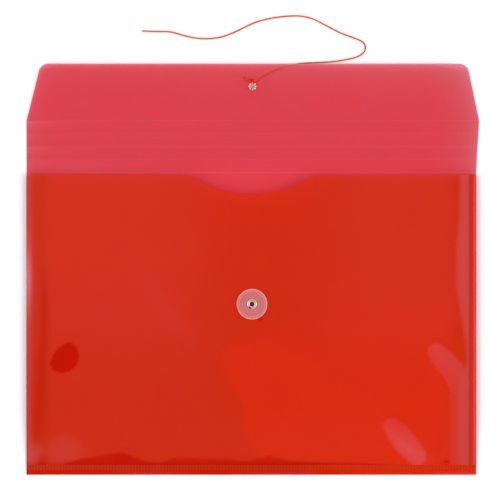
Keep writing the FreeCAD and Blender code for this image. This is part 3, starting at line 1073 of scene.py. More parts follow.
# Courses over the front film, as marks of (place, length) in millimetres.
REFLECTION_EDGE = (           # x of the edge of the painted reflection band at the right side, by y
    (-115, 168.5), (-50, 168), (-40, 171), (-31, 175.5), (-15, 174.5), (3, 171.5), (28, 167), (60, 167),
    (84, 169), (123, 170),
)
LIT_PLACE_BORDER = (       # x of the left border of the place painted brighter, by the distance below y = 0
    (5, -10), (16, -19), (25, -23.4), (34, -23.7), (45, -20), (55, -12), (68, -7.4), (81, -5.2),
    (94, -1.5), (104, 3.5), (112, 8),
)
ARCH_HEIGHT = (         # height of the arches above the bottom weld, by x
    (-156, 0), (-147, 3), (-139, 5.2), (-124, 7.4), (-114, 9.2), (-106, 10.2), (-98, 7.4), (-88, 3),
    (-76, 1.4), (-62, 6.0), (-45, 5.0), (-20, 4.6), (-3, 3.2), (6, 5.5), (14, 7.6), (22, 6.0),
    (30, 3.6), (50, 2.3), (90, 1.7), (118, 0),
)
FOLD_LINE = (           # x of the line where the front clings to the left gusset, by y
    (-96, -175.6), (-59, -173.6), (-30, -171.6), (-5, -169.6), (44, -169.3),
)
FOLD_REACH = (          # and its reach to both sides
    (-96, 4.2), (-59, 5.6), (-30, 4.6), (-5, 3.3), (44, 3.0),
)
FOLD_HIGHLIGHT = (37 * MM, 24 * MM)      # y and reach of the painted highlight along the left side fold


@dataclass
class FrontFilm:
    """The front panel: bowed upper edge with a thumb notch, sloping down to the bottom weld.

    Attributes:
        shape: Heights of the pocket's film.
        rivet: Middle of the button's rivet.
        edge_ease: How far in from the left and right side the upper edge turns.
        edge_drop: The edge's distance below the score line at the left and right side.
        edge_dip: The same at the two turns.
        notch_width: Width of the thumb notch along the edge.
        notch_depth: Its depth.
        notch_shoulder: Size of the rounding where it meets the edge.
        notch_slope: Slope between arc and edge that the rounding reckons with.
        rivet_hole: Radius of the rivet's hole.
        spot: X, y, half width and half height of the drop near the left side, where films cling.
        mark: X and y of the small clinging mark beside the button.
        corner_mark: X and y of the one in the lower right corner.
        upper_highlight: X, y and radius of the discs round the upper patch of painted highlight, in
            millimetres.
        lower_highlight: The same for the lower patch of painted highlight.
        grid_step: Largest distance between neighbours in the panel's grid.
    """

    shape: PocketShape
    rivet: Vector
    edge_ease: tuple[float, float] = (32.0 * MM, 52.0 * MM)
    edge_drop: tuple[float, float] = (0.3 * MM, 1.4 * MM)
    edge_dip: tuple[float, float] = (1.3 * MM, 3.7 * MM)
    notch_width: float = 100.0 * MM
    notch_depth: float = 15.0 * MM
    notch_shoulder: float = 6.0 * MM
    notch_slope: float = 0.45
    rivet_hole: float = 2.35 * MM
    spot: tuple[float, float, float, float] = (-152.2 * MM, -27.9 * MM, 11.2 * MM, 12.6 * MM)
    mark: tuple[float, float] = (7.2 * MM, 4.3 * MM)
    corner_mark: tuple[float, float] = (159.8 * MM, -113.3 * MM)
    upper_highlight: tuple[tuple[float, float, float], ...] = (
        (151.2, -23.0, 7.2), (157.8, -30.6, 9.0), (165.5, -38.8, 9.4), (170.9, -51.0, 8.8))
    lower_highlight: tuple[tuple[float, float, float], ...] = (
        (114.6, -84.0, 6.8), (120.1, -90.6, 9.2), (128.3, -100.4, 9.2), (135.5, -108.6, 7.8))
    grid_step: float = 1.7 * MM

    def upper_edge(self, x: Array) -> Array:
        """Y of the upper edge at x, notch and all."""
        places = self.shape.places
        half = places.half_width
        left, right = -half + self.edge_ease[0], half - self.edge_ease[1]
        marks = (-half, left, right, half)
        drops = (self.edge_drop[0], self.edge_dip[0], self.edge_dip[1], self.edge_drop[1])
        straight = np.interp(x, marks, [places.score_y - d for d in drops])
        radius = ((self.notch_width / 2) ** 2 + self.notch_depth ** 2) / (2 * self.notch_depth)
        middle_y = np.interp(0.0, marks, [places.score_y - d for d in drops])
        round_part = np.sqrt(np.clip(radius ** 2 - x ** 2, 0, None))
        notch = middle_y - self.notch_depth + radius - round_part
        soft = self.notch_shoulder * self.notch_slope ** 2
        both = np.stack([straight, np.where(np.abs(x) < radius * 0.9, notch, straight + 1)])
        low = both.min(axis=0)
        gap = np.abs(both[0] - both[1])
        return low - np.clip(soft - gap, 0, None) ** 2 / (4 * soft)

    def build(self, finishes: Finishes) -> None:
        """Makes the front panel's film and the strip that is welded over its right edge."""
        self._panel(finishes)
        self._overlap(finishes)

    def _panel(self, finishes: Finishes) -> None:
        """The panel itself."""
        places = self.shape.places
        hole = Hole(self.rivet.x, self.rivet.y, self.rivet_hole)
        reach = places.half_width
        finer = [s * (reach - d * MM) for s in (-1, 1) for d in (1, 2, 3, 4.5, 6, 8, 10, 13, 16)]
        near = np.arange(-3, 4) * 0.7 * MM
        columns = spread(-reach, reach, self.grid_step, [
            *hole.lines(hole.x), *finer, *(self.mark[0] + near), *(self.corner_mark[0] + near)])
        turn_y = places.score_y - 32 * MM       # above it the rows follow the upper edge
        lower = spread(places.start_y, turn_y, self.grid_step, [
            *hole.lines(hole.y), *(self.mark[1] + near), *(self.corner_mark[1] + near)])
        upper_share = np.linspace(0, 1, 16)[1:]
        top = self.upper_edge(columns)
        below = places.gusset_y - 0.02 * MM     # the last row but one ends with the gussets
        rows = [np.full_like(columns, value) for value in lower]
        rows += [turn_y + (np.minimum(top, below) - turn_y) * share for share in upper_share]
        rows += [np.maximum(np.minimum(top, below) + 0.04 * MM, top)]
        y = np.array(rows)
        ended = (y < places.gusset_y - 0.01 * MM).all(axis=1)
        x = np.where(ended[:, None], self._before_folds(columns), columns)
        z = self.shape.front_middle(x, y)
        middle = np.stack([x, y, z], axis=2)
        piece = FilmSheet("front_film", middle, y - places.score_y, places.film,
                          haze=self.haze(x, y), wet=self.wet(x, y), painted_light=self.painted_light(x, y),
                          cuts=(Rim.FIRST_COLUMN,), hole=hole).build(finishes)
        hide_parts("front_panel")
        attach(piece, Panel.FRONT.value)

    def _before_folds(self, columns: Array) -> Array:
        """The same columns, but with the outer ones drawn in to end before the side folds."""
        outer = 4 * MM
        start = self.shape.places.half_width - outer
        past = np.clip(np.abs(columns) - start, 0, outer)
        return columns - np.sign(columns) * past * self.shape.nose / outer

    def left_fold(self, x: Array) -> Array:
        """Bell along the left side fold."""
        return hump(x, 1.5 * MM - self.shape.places.half_width, 3.0 * MM)

    def haze(self, x: Array, y: Array) -> Array:
        """Where the front film is paler, with painted highlights and a painted reflection band on it."""
        # Painted highlight along the left side fold, strongest at its paler part.
        left = self.left_fold(x) * (0.08 + 0.30 * hump(y, *FOLD_HIGHLIGHT))
        corner = 0.09 * bell(x, y, (-178.15, -107), (7.7, 11))
        heel = 0.045 * ramp(np.hypot((x + 153 * MM) / 1.25, y + 104 * MM), 17, 6)
        cloudy = 0.022 * ramp(x, 0, -90) * ramp(y, -130, 40)
        cloudy = cloudy + 0.015 * ramp(x, 20, 110) * ramp(y, -50, 20)
        streak = 0.012 * hump(x + 74 * MM - (19 * MM - y) * 0.72, 0, 8 * MM) * ramp(y, 70, 20)
        streak = streak * ramp(y, -40, -5)
        # Painted highlights in two patches low on the right, and a painted reflection in the band beside the
        # right weld.
        upper = self.pool(x, y, self.upper_highlight) * (0.065 + 0.02 * ramp(x + y, 115, 130))
        lower = self.pool(x, y, self.lower_highlight) * (0.07 + 0.03 * ramp(x - y, 200, 235))
        highlights = np.maximum(np.maximum(upper, 0.115 * self.reflection_band(x, y)), lower)
        return np.clip(left + corner + heel + cloudy + streak + highlights, 0, 1) * (1 - 0.9 * self.wet(x, y))

    def reflection_band(self, x: Array, y: Array) -> Array:
        """1 in the band beside the right weld, which the gusset bows outwards, where a reflection is
        painted.
        """
        edge = course(y, REFLECTION_EDGE)
        inner = 0.6 * ease(x, edge - 1.5 * MM, edge + 3.5 * MM)
        outer = 0.4 * ease(x, edge - 8.0 * MM, edge - 2.5 * MM) * ramp(y, -38, -46)
        whole = inner * (1 + 0.667 * ramp(y, -46, -38)) + outer
        return whole * ease(x, self.shape.places.half_width - 5 * MM, self.shape.places.half_width - 7 * MM)

    @staticmethod
    def pool(x: Array, y: Array, chain: Sequence[tuple[float, float, float]]) -> Array:
        """1 inside a smooth shape round a chain of discs.

        Args:
            x: Places.
            y: Places.
            chain: Middle and radius of each disc, in millimetres.

        Returns:
            1 inside and 0 outside, with a narrow soft edge.
        """
        best = np.full(np.shape(x), np.inf)
        for first, second in zip(chain, chain[1:]):
            run = np.array(second[:2]) - np.array(first[:2])
            share = ((x / MM - first[0]) * run[0] + (y / MM - first[1]) * run[1]) / (run @ run)
            share = np.clip(share, 0, 1)
            away = np.hypot(x / MM - first[0] - share * run[0], y / MM - first[1] - share * run[1])
            best = np.minimum(best, away - first[2] - share * (second[2] - first[2]))
        return ease(best, 1.1, -1.1)

    @staticmethod
    def lit_place(x: Array, y: Array) -> Array:
        """1 in the lower middle and right, where the films lie smooth and the front film is painted
        brighter, and 0 outside it.
        """
        beside = ramp(x - course(-y, LIT_PLACE_BORDER), -3.5, 3.5)
        rise = ramp(x, -15, 100)
        below = ease(y, -8 * MM + 55 * MM * rise, -22 * MM - 45 * MM * rise)
        return beside * below * ramp(x, 178, 150)

    def painted_light(self, x: Array, y: Array) -> Array:
        """Painted shade (below 0) and painted light (above 0) on the front film."""
        half = self.shape.places.half_width
        upper_left = 0.30 * ramp(x, -20, -100) * ramp(y, 20, 60)
        lower_left = -0.35 * ramp(x, 10, -60) * ramp(y, 30, -40)
        right = 0.15 * ramp(x, 40, 120)
        # Painted shade over the left gusset, and a painted highlight along the left side fold.
        over_left = -0.75 * ease(x, -half + 19.5 * MM, -half + 13 * MM)
        over_left = over_left + 1.3 * self.left_fold(x) * hump(y, *FOLD_HIGHLIGHT)
        over_right = -0.60 * ease(x, half - 19 * MM, half - 12 * MM) * (1 - self.lit_place(x, y))
        level = 0.85 * self.lit_place(x, y) - 0.13 + upper_left + lower_left + right
        level = level - 0.3 * ramp(y, 100, 120)
        return np.clip(level + over_left + over_right - 0.9 * self.lens(x, y), -1, 1)

    def lens(self, x: Array, y: Array) -> Array:
        """1 in the low arches above the bottom weld where the films cling, and 0 outside them."""
        under = ramp(y - self.shape.places.pocket_y - course(x, ARCH_HEIGHT), 1.0, -1.2)
        return under * ramp(x, -157, -152) * ramp(x, 120, 112)

    def wet(self, x: Array, y: Array) -> Array:
        """Where the front film clings to the film behind it."""
        spot_x, spot_y, spot_wide, spot_tall = self.spot
        up = (y - spot_y) / spot_tall
        lean = spot_x + 3.0 * MM * up
        wide = spot_wide * (1 - 0.2 * np.clip(up, -1, 1))
        drop = ease(np.hypot((x - lean) / wide, up), 1.05, 0.92)
        lens = self.lens(x, y) * (0.68 + 0.15 * ramp(x, -70, -90))
        deep = 0.3 * bell(x, y, (-106, -109.5), (6.72, 4.2))
        along = 0.35 * hump(y, self.shape.places.pocket_y, 2.5 * MM) * ramp(x, 90, 40)
        cling = hump(x, course(y, FOLD_LINE), course(y, FOLD_REACH)) * ramp(y, 55, 20) * ramp(y, -101, -93)
        heel = ramp(x, -176, -172.5) * ramp(x, -166.5, -170) * ramp(y, -104, -113)
        mark = ramp(np.hypot(x - self.mark[0], y - self.mark[1]), 2.8, 1.6)
        corner = bell(x, y, (self.corner_mark[0] / MM, self.corner_mark[1] / MM), (2.4, 1.6))
        dull = 0.2 * bell(x, y, (152.5, -101), (4, 8))
        marked = mark + corner + dull
        return np.clip(drop + lens + deep + along + 0.45 * cling + 0.6 * heel + marked, 0, 1)

    def _overlap(self, finishes: Finishes) -> None:
        """The strip of film over the panel's right edge, with its dark weld line."""
        places = self.shape.places
        right = places.half_width
        columns = spread(right - self.shape.overlap_width, right - self.shape.nose, 0.6 * MM)
        rows = spread(places.start_y, places.gusset_y, 3 * MM)
        x, y = np.meshgrid(columns, rows)
        z = self.shape.front_middle(x, y) + places.film
        middle = np.stack([x, y, z], axis=2)
        weld = ease(x, right - 5.4 * MM, right - 4.8 * MM) * ease(x, right - 2.4 * MM, right - 3.0 * MM)
        edge = ease(x, right - 2.9 * MM, right - 1.4 * MM) * 0.19 + 0.03
        piece = FilmSheet("side_overlap_film", middle, y - places.score_y, places.film,
                          haze=edge, wet=0.4 * weld, cuts=(Rim.LAST_COLUMN,)).build(finishes)
        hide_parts("side_overlap")
        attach(piece, Panel.FRONT.value)


@dataclass
class Gusset:
    """One side wall: two leaves folded in between the panels, with the rolled side folds."""

    shape: PocketShape
    side: Side

    def build(self, finishes: Finishes) -> None:
        """Makes the two leaves."""
        places = self.shape.places
        outer, inner = places.half_width, places.gusset_inner
        name = self.side.name.lower()
        far = outer - 2 * (outer - inner)
        for leaf, start, end in (("lower", outer, far), ("upper", far, outer)):
            piece = self._leaf(leaf, finishes)
            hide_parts(f"{name}_gusset")
            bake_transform(piece)
        LOG.info("%s gusset: lower and upper leaf", name)

    def _leaf(self, leaf: str, finishes: Finishes) -> Object:
        """Lofts one leaf from sections along Y."""
        places = self.shape.places
        rows = spread(places.start_y, places.gusset_y, 4 * MM)
        sections = [self._section(leaf, y) for y in rows]
        middle = np.array([[(p[0], y, p[1]) for p in section] for section, y in zip(sections, rows)])
        if (leaf == "upper") != (self.side is Side.LEFT):
            middle = middle[:, ::-1]
        lengths = np.concatenate([
            np.zeros((len(rows), 1)),
            np.cumsum(np.linalg.norm(np.diff(middle, axis=1), axis=2), axis=1)], axis=1)
        across = self.side.value * (places.half_width + lengths)
        along = np.broadcast_to((rows - places.score_y)[:, None], across.shape)
        fold = ease(np.abs(middle[:, :, 0]), places.half_width - 1.4 * MM, places.half_width - 0.3 * MM)
        # Along the side fold, painted light; on the left side, where it is pale, a painted highlight as
        # well.
        pale = hump(rows, *FOLD_HIGHLIGHT)[:, None] * (self.side is Side.LEFT)
        return FilmSheet(f"{self.side.name.lower()}_gusset_{leaf}", middle, along, places.film,
                         haze=(0.05 + 0.35 * pale) * fold, wet=0.9 * fold * (1 - pale), painted_light=0.8 * fold,
                         across=across, cuts=(Rim.FIRST_COLUMN, Rim.LAST_COLUMN)).build(finishes)

    def _section(self, leaf: str, y: float) -> list[tuple[float, float]]:
        """(x, z) points of one leaf's middle line at y, from the side fold in to the inner fold."""
        places, sign = self.shape.places, self.side.value
        thick = places.film
        outer = places.half_width
        lift = thick if self.side is Side.RIGHT else 0.0
        top_middle = float(self.shape.front_middle(
            np.array(sign * (outer - self.shape.nose)), np.array(y))) + lift
        height = top_middle + thick / 2
        # Where the pocket is thin, near the weld, both folds are pressed tighter.
        nose = min(self.shape.nose, 0.235 * height)
        inner_nose = min(self.shape.inner_nose, 0.14 * height)
        bend, inner_bend = nose - thick / 2, max(inner_nose - thick / 2, 0.02 * MM)
        middle_z = height / 2
        centre_x = outer - self.shape.nose
        low_z = nose if leaf == "lower" else height - nose
        way = 1 if leaf == "lower" else -1
        points = []
        for turn in np.radians(np.linspace(-90, 90, 13)):
            out = (self.shape.nose - thick / 2) * math.cos(turn)
            points.append((centre_x + out, low_z + way * bend * math.sin(turn)))
        fold_x = places.gusset_inner + inner_nose
        start_z = low_z + way * bend
        end_z = middle_z - way * inner_bend
        for share in np.linspace(0, 1, 11)[1:]:
            eased = 0.35 * share + 0.65 * share * share * (3 - 2 * share)
            points.append((centre_x + (fold_x - centre_x) * share, start_z + (end_z - start_z) * eased))
        for turn in np.radians(np.linspace(0, 90, 6))[1:]:
            points.append((fold_x - inner_bend * math.sin(turn),
                           middle_z - way * inner_bend * math.cos(turn)))
        return [(sign * x, z) for x, z in points]


# ---------------------------------------------------------------- flap film
@dataclass
class FlapShape:
    """Outline and heights of the open flap, by the distance from the main score line."""

    places: Places
    length: float = 89.1 * MM
    flare: float = 2.5 * MM
    slant_left: float = 11.7 * MM
    slant_right: float = 9.8 * MM
    corner: float = 8.0 * MM
    curl_top: tuple[float, float] = (7.0 * MM, 0.9 * MM)        # reach and drop
    curl_right: tuple[float, float] = (24.0 * MM, 0.85)         # reach and share of the height
    curl_left: tuple[float, float] = (12.0 * MM, 0.45)

    @property
    def last_score(self) -> float:
        """Distance of the last score line."""
        return (SCORE_LINES - 1) * SCORE_PITCH

    def sides(self, along: Array) -> tuple[Array, Array]:
        """X of the left and right side at a distance along the flap, with rounded corners."""
        half = self.places.half_width
        past = np.clip((along - self.last_score) / (self.length - self.last_score), 0, 1)
        left = -half + self.slant_left * past
        right = half + self.flare * np.clip(along / self.last_score, 0, 1) - self.slant_right * past
        left = left + self._corner(along, self.slant_left)
        right = right - self._corner(along, self.slant_right)
        return left, right

    def _corner(self, along: Array, slant: float) -> Array:
        """How far a corner's rounding leads in from the slanted side."""
        run = self.length - self.last_score
        lean = math.atan2(slant, run)
        reach = self.corner * math.tan((math.pi / 2 - lean) / 2)
        start = self.length - reach * math.cos(lean)
        centre = self.length - self.corner
        depth = np.clip(along, start, self.length) - centre
        on_arc = np.sqrt(np.clip(self.corner ** 2 - depth ** 2, 0, None))
        arc_x = slant + reach - on_arc
        line_x = slant * np.clip((along - self.last_score) / run, 0, 1)
        return np.where(along > start, arc_x - line_x, 0.0)

    def point(self, x: Array, along: Array) -> Array:
        """Places on the middle surface of the flap."""
        half_film = self.places.film / 2
        start = np.clip(along, 0, None)
        y = self.places.score_y + np.where(
            along > 0, start * math.cos(FLAP_SLOPE) + half_film * math.sin(FLAP_SLOPE), along)
        z = self.places.film + start * math.sin(FLAP_SLOPE) - half_film * np.where(
            along > 0, math.cos(FLAP_SLOPE), 1)
        return np.stack([x, y, z - self.sag(x, along)], axis=2)

    def sag(self, x: Array, along: Array) -> Array:
        """How far the film has sunk towards the floor at its free edges."""
        left_x, right_x = self.sides(along)
        height = np.clip(along, 0, None) * math.sin(FLAP_SLOPE)
        top_reach, top_drop = self.curl_top
        top = np.clip(1 - (self.length - along) / top_reach, 0, 1) ** 2 * top_drop
        right = np.clip(1 - (right_x - x) / self.curl_right[0], 0, 1) ** 2 * self.curl_right[1]
        left = np.clip(1 - (x - left_x) / self.curl_left[0], 0, 1) ** 2 * self.curl_left[1]
        sides = height * (right + left) * ramp(along, 0, 12)
        return np.minimum(top + sides, height * 0.95)

    def haze(self, x: Array, along: Array) -> Array:
        """Pale lines of whitened film along the scores, with painted reflections along the flap's edges and
        painted highlights on the scored strips.
        """
        left, right = self.sides(along)
        strength = (0.13, 0.05, 0.08, 0.05, 0.09)       # of the pale line at each score
        lines = np.zeros_like(along)
        for number, much in enumerate(strength):
            fade = ease(x, -150 * MM - 12 * MM * number, -120 * MM) * 0.5 + 0.5
            lines = lines + much * fade * hump(along, number * SCORE_PITCH, 0.34 * MM)
        # Painted reflections along the flap's top edge and its sides.
        inwards = self.length - along
        top = 0.18 * np.exp(-inwards / (1.5 * MM))
        top = top + 0.21 * np.exp(-inwards / (11 * MM)) * (0.45 + 0.7 * ramp(x, -120, 150))
        sides = 0.30 * np.exp(-(right - x) / (11 * MM)) + 0.11 * np.exp(-(x - left) / (7 * MM))
        sides = sides + 0.07 * ramp(along, 14, 2) * ramp(x, -40, -140)
        # Painted highlights on the scored strips: each paler towards its far end, most on the strips that
        # catch the light, fading from the left.
        strip = along / SCORE_PITCH
        facet = np.where((strip > 0) & (strip < 4), strip - np.floor(strip), 0.0)
        bright = np.where((strip > 3) | ((strip > 1) & (strip < 2)), 1.0, 0.45) * (strip < 4)
        ends = 0.15 * facet * bright * np.exp(-(x - left) / (24 * MM))
        wavy = ease(np.sin(along * 2600 + 2.1 * np.sin(x * 31)), 0.2, 1.0)
        streaks = 0.012 * wavy * (strip < 4.2) * ramp(np.abs(x + 60 * MM), 150, 60)
        return np.clip(lines + top + sides + ends + streaks, 0, 1)

    @staticmethod
    def painted_light(x: Array, along: Array) -> Array:
        """Painted light near the pocket's mouth and behind the thumb notch, where the front's edge shades
        the film.
        """
        notch = np.maximum(ramp(along, -4, -1), ramp(np.abs(x), 56, 46))
        return 0.8 * ramp(along, 16, 0) * notch * ramp(along, -50, -20)

    def groove(self, along: Array) -> Array:
        """Thickness of the film, thinner in the score lines."""
        thin = sum(hump(along, n * SCORE_PITCH, 0.30 * MM) for n in range(SCORE_LINES))
        return self.places.film * (1 - 0.14 * np.clip(thin, 0, 1))


@dataclass
class FlapFilm:
    """The flap and the five scored bends that lead to it."""

    shape: FlapShape
    pocket: PocketShape
    eyelet: Vector
    eyelet_hole: float = 1.75 * MM
    bend_reach: float = 1.2 * MM
    calm: float = 20.0 * MM     # half width of the middle, where the grid's columns run straight
    pressed: tuple[tuple[float, float, float, float, float], ...] = (
        # from the eyelet in x and y, half width, half height, strength: film that lies on knot and tail
        (-0.9, 5.35, 2.2, 1.5, 0.50), (-6.6, 6.9, 1.0, 1.7, 0.35),
    )

    @property
    def first_cut(self) -> float:
        """Distance along the sheet where the back panel goes on as the first bend."""
        return -0.5 * SCORE_PITCH

    def build(self, finishes: Finishes) -> None:
        """Makes the bends and the flap."""
        for number in range(SCORE_LINES):
            self._bend(number, finishes)
        self._panel(finishes)

    def _grid(self, along_rows: Array, shares: Array,
              hole: Optional[Hole] = None) -> tuple[Array, Array]:
        """X and distance of a grid that fills the flap's outline between two rows."""
        left, right = self.shape.sides(along_rows)
        inset = np.where(along_rows < self.pocket.places.gusset_y - self.pocket.places.score_y,
                         self.pocket.nose, 0.0)
        left, right = left + inset, right - inset
        first = left[0] + (right[0] - left[0]) * shares
        if hole:
            for line in hole.lines(hole.x):
                first[np.argmin(np.abs(first - line))] = line
        to_left = np.clip((first + self.calm) / (left[0] + self.calm), 0, 1)
        to_right = np.clip((first - self.calm) / (right[0] - self.calm), 0, 1)
        x = first + np.outer(left - left[0], to_left) + np.outer(right - right[0], to_right)
        return x, np.broadcast_to(along_rows[:, None], x.shape)

    def _sheet(self, name: str, x: Array, along: Array, cuts: Sequence[Rim],
               finishes: Finishes, hole: Optional[Hole] = None) -> Object:
        """Makes one piece of the flap's film, with painted light where it lies on the string."""
        wet = self.wet(x, along)
        painted_light = np.clip(self.shape.painted_light(x, along) + 3 * wet, -1, 1)
        return FilmSheet(name, self.shape.point(x, along), along, self.shape.groove(along),
                         haze=self.shape.haze(x, along) * (1 - wet), wet=wet, painted_light=painted_light,
                         cuts=cuts, hole=hole).build(finishes)

    @property
    def eyelet_along(self) -> float:
        """Distance of the eyelet along the sheet."""
        return (self.eyelet.y - self.pocket.places.score_y) / math.cos(FLAP_SLOPE)

    def wet(self, x: Array, along: Array) -> Array:
        """Where the flap's film lies on the string."""
        total = np.zeros_like(along)
        for off_x, off_y, wide, tall, strength in self.pressed:
            across = (x - self.eyelet.x - off_x * MM) / (wide * MM)
            away = np.hypot(across, (along - self.eyelet_along - off_y * MM) / (tall * MM))
            total = total + strength * ease(away, 1.3, 0.7)
        return np.clip(total, 0, 1)

    def _bend(self, number: int, finishes: Finishes) -> None:
        """The film about one score line, from half a pitch before it to half a pitch after."""
        score = number * SCORE_PITCH
        fine = [score + d * MM for d in (-1.2, -0.8, -0.45, -0.22, 0, 0.22, 0.45, 0.8, 1.2)]
        if number == 0:
            step_up = self.pocket.places.gusset_y - self.pocket.places.score_y
            fine += [step_up - 0.02 * MM, step_up + 0.02 * MM]
        rows = spread(score - SCORE_PITCH / 2, score + SCORE_PITCH / 2, 1.4 * MM, fine)
        x, along = self._grid(rows, np.linspace(0, 1, 121))
        piece = self._sheet(f"crease_{number + 1}", x, along, (Rim.FIRST_ROW, Rim.LAST_ROW), finishes)
        if number:
            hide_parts(f"flap_strip_{number}")
        if number + 1 < SCORE_LINES:
            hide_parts(f"flap_strip_{number + 1}")
        start, end = (self.shape.point(np.array([[0.0]]), np.array([[score + d]]))[0, 0]
                      for d in (-self.bend_reach, self.bend_reach))
        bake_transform(piece)

    def _panel(self, finishes: Finishes) -> None:
        """The flap itself, with the eyelet's hole."""
        start = self.shape.last_score + SCORE_PITCH / 2
        end = self.shape.length
        hole = Hole(self.eyelet.x, self.eyelet.y, self.eyelet_hole)
        fine = [end - d * MM for d in (0.05, 0.2, 0.5, 0.9, 1.4, 2, 2.8, 3.7, 4.8, 6, 7.3, 8.6)]
        fine += [self.eyelet_along + n * self.eyelet_hole / 3 for n in range(-5, 18)]
        rows = spread(start, end, 2 * MM, fine)
        shares = spread(0, 1, 1 / 186, np.linspace(0.475, 0.52, 31))
        x, along = self._grid(rows, shares, hole)
        piece = self._sheet("flap_film", x, along, (Rim.FIRST_ROW,), finishes, hole)
        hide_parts("flap_panel")
        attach(piece, Panel.FLAP.value)


# ---------------------------------------------------------------- bottom weld
@dataclass
class BottomWeld:
    """The knurled weld across the bottom, made by Geometry Nodes, and the loose lip below it."""

    places: Places
    rib_pitch: float = 2.5 * MM
    rib_rise: float = 0.15 * MM
    steps_per_rib: int = 8
    rows: int = 8
    lip_gap: float = 0.02 * MM      # between the lip's two films
    lip_lift: float = 0.12 * MM     # of the upper one in places

    def build(self, finishes: Finishes) -> None:
        """Makes the ribbed band and the two films of the lip."""
        band = self._band(finishes)
        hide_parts("bottom_seam")
        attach(band, Panel.BODY.value)
        for name, low in (("lip_back", 0.0), ("lip_front", self.places.film + self.lip_gap)):
            self._lip(name, low, finishes)
        LOG.info("bottom weld: ribs and lip")

    def _band(self, finishes: Finishes) -> Object:
        """Runs the rib tree on a carrier and keeps its result as a plain mesh."""
        places = self.places
        carrier = new_piece("bottom_weld_carrier", bpy.data.meshes.new("carrier"))
        ribs = round(2 * places.half_width / self.rib_pitch)
        mesh = self.rib_tree().run(carrier, {
            "Length": 2 * places.half_width, "Width": places.pocket_y - places.weld_y,
            "Middle Y": (places.pocket_y + places.weld_y) / 2,
            "Thickness": places.weld_top - self.rib_rise, "Rib Rise": self.rib_rise,
            "Rib Pitch": 2 * places.half_width / ribs,
            "Columns": ribs * self.steps_per_rib + 1, "Rows": self.rows, "Film": finishes.weld,
        })
        bpy.data.objects.remove(carrier)
        mesh.name = "bottom_weld"
        points = np.array([v.co for v in mesh.vertices])
        write_uv(mesh, points[:, :2] - np.array([0, places.score_y]))
        # Painted light and shade rib by rib: paler and brighter on each rib's crest; the band is also
        # painted brighter to the right.
        wave = 0.5 + 0.5 * np.cos(points[:, 0] * FULL_TURN / self.rib_pitch)
        lit_level = 0.9 * ramp(points[:, 0], 10, 100)
        write_points(mesh, "haze", 0.024 * wave * (1 - 0.8 * ramp(points[:, 0], -100, -20)))
        write_points(mesh, "painted_light", np.clip(0.6 * wave - 0.65 + lit_level, -1, 1))
        write_points(mesh, "skin", (points[:, 2] > places.weld_top / 2).astype(float))
        mesh.shade_smooth()
        sharpen_by_angle(mesh, 50)
        return new_piece("bottom_weld", mesh)

    @staticmethod
    def rib_tree() -> ShapeTree:
        """Geometry Nodes tree of a closed band with rounded ribs across it.

        Returns:
            The tree, whose inputs are Length, Width, Middle Y, Thickness, Rib Rise, Rib Pitch,
            Columns, Rows and Film.
        """
        sizes = ("Length", "Width", "Middle Y", "Thickness", "Rib Rise", "Rib Pitch")
        tree = ShapeTree("knurled_weld", {
            **dict.fromkeys(sizes, "Float"), "Columns": "Int", "Rows": "Int", "Film": "Material"})
        given, add, total = tree.given, tree.add, tree.sum
        grid = add("GeometryNodeMeshGrid", {
            "Size X": given["Length"], "Size Y": given["Width"],
            "Vertices X": given["Columns"], "Vertices Y": given["Rows"]}).outputs["Mesh"]
        place = add("SeparateXYZ", {0: add("GeometryNodeInputPosition").outputs[0]}).outputs
        turn = total("MULTIPLY", total("DIVIDE", place[0], given["Rib Pitch"]), FULL_TURN)
        wave = total("MULTIPLY", total("ADD", total("COSINE", turn), 1.0), 0.5)
        depth = total("DIVIDE", total("MULTIPLY", place[1], 2.0), given["Width"])
        fade = total("SUBTRACT", 1.0, total("POWER", total("ABSOLUTE", depth), 4.0))
        rise = total("MULTIPLY", total("MULTIPLY", wave, fade), given["Rib Rise"])

        def face(height: object) -> Socket:
            """The grid in its place at a height."""
            offset = add("CombineXYZ", {1: given["Middle Y"], 2: height}).outputs[0]
            return add("GeometryNodeSetPosition", {"Geometry": grid, "Offset": offset}).outputs[0]

        upper = face(total("ADD", rise, given["Thickness"]))
        lower = add("GeometryNodeFlipFaces", {0: face(0.0)}).outputs[0]
        faces_there = add("GeometryNodeInputMeshEdgeNeighbors").outputs[0]
        rim = add("FunctionNodeCompare", {2: faces_there, 3: 1}, data_type="INT", operation="EQUAL")
        down = add("CombineXYZ", {2: total("MULTIPLY", given["Thickness"], -1.0)})
        walls = add("GeometryNodeExtrudeMesh", {
            "Mesh": upper, "Selection": rim.outputs[0], "Offset": down.outputs[0],
            "Offset Scale": 1.0}, mode="EDGES")
        joined = add("GeometryNodeJoinGeometry", {0: walls.outputs["Mesh"]})
        tree.tree.links.new(lower, joined.inputs[0])
        merged = add("GeometryNodeMergeByDistance", {
            "Geometry": joined.outputs[0], "Distance": 0.02 * MM})
        tree.finish(merged.outputs[0], "Film")
        return tree

    def _lip(self, name: str, low: float, finishes: Finishes) -> None:
        """One of the two loose films below the weld."""
        places = self.places
        columns = spread(-places.half_width, places.half_width, 2.0 * MM)
        rows = spread(places.lip_y, places.weld_y, 0.7 * MM)
        x, y = np.meshgrid(columns, rows)
        part = np.sin(x * 37 + 1.0) * np.sin(x * 11 + 0.4)
        upper = low > 0     # the upper film lifts off in places, and clings most between them
        outwards = ease(y, places.weld_y, places.lip_y)
        lift = np.clip(part, 0, 1) * self.lip_lift * outwards * upper
        middle = np.stack([x, y, low + places.film / 2 + lift], axis=2)
        cling = (0.37 + 0.4 * ease(part, 0.15, -0.2)) * upper * (0.7 + 0.5 * ramp(x, -110, -40))
        cling = cling * ramp(x, 110, 20)
        haze = 0.05 * ease(part, 0.1, 0.5) * outwards
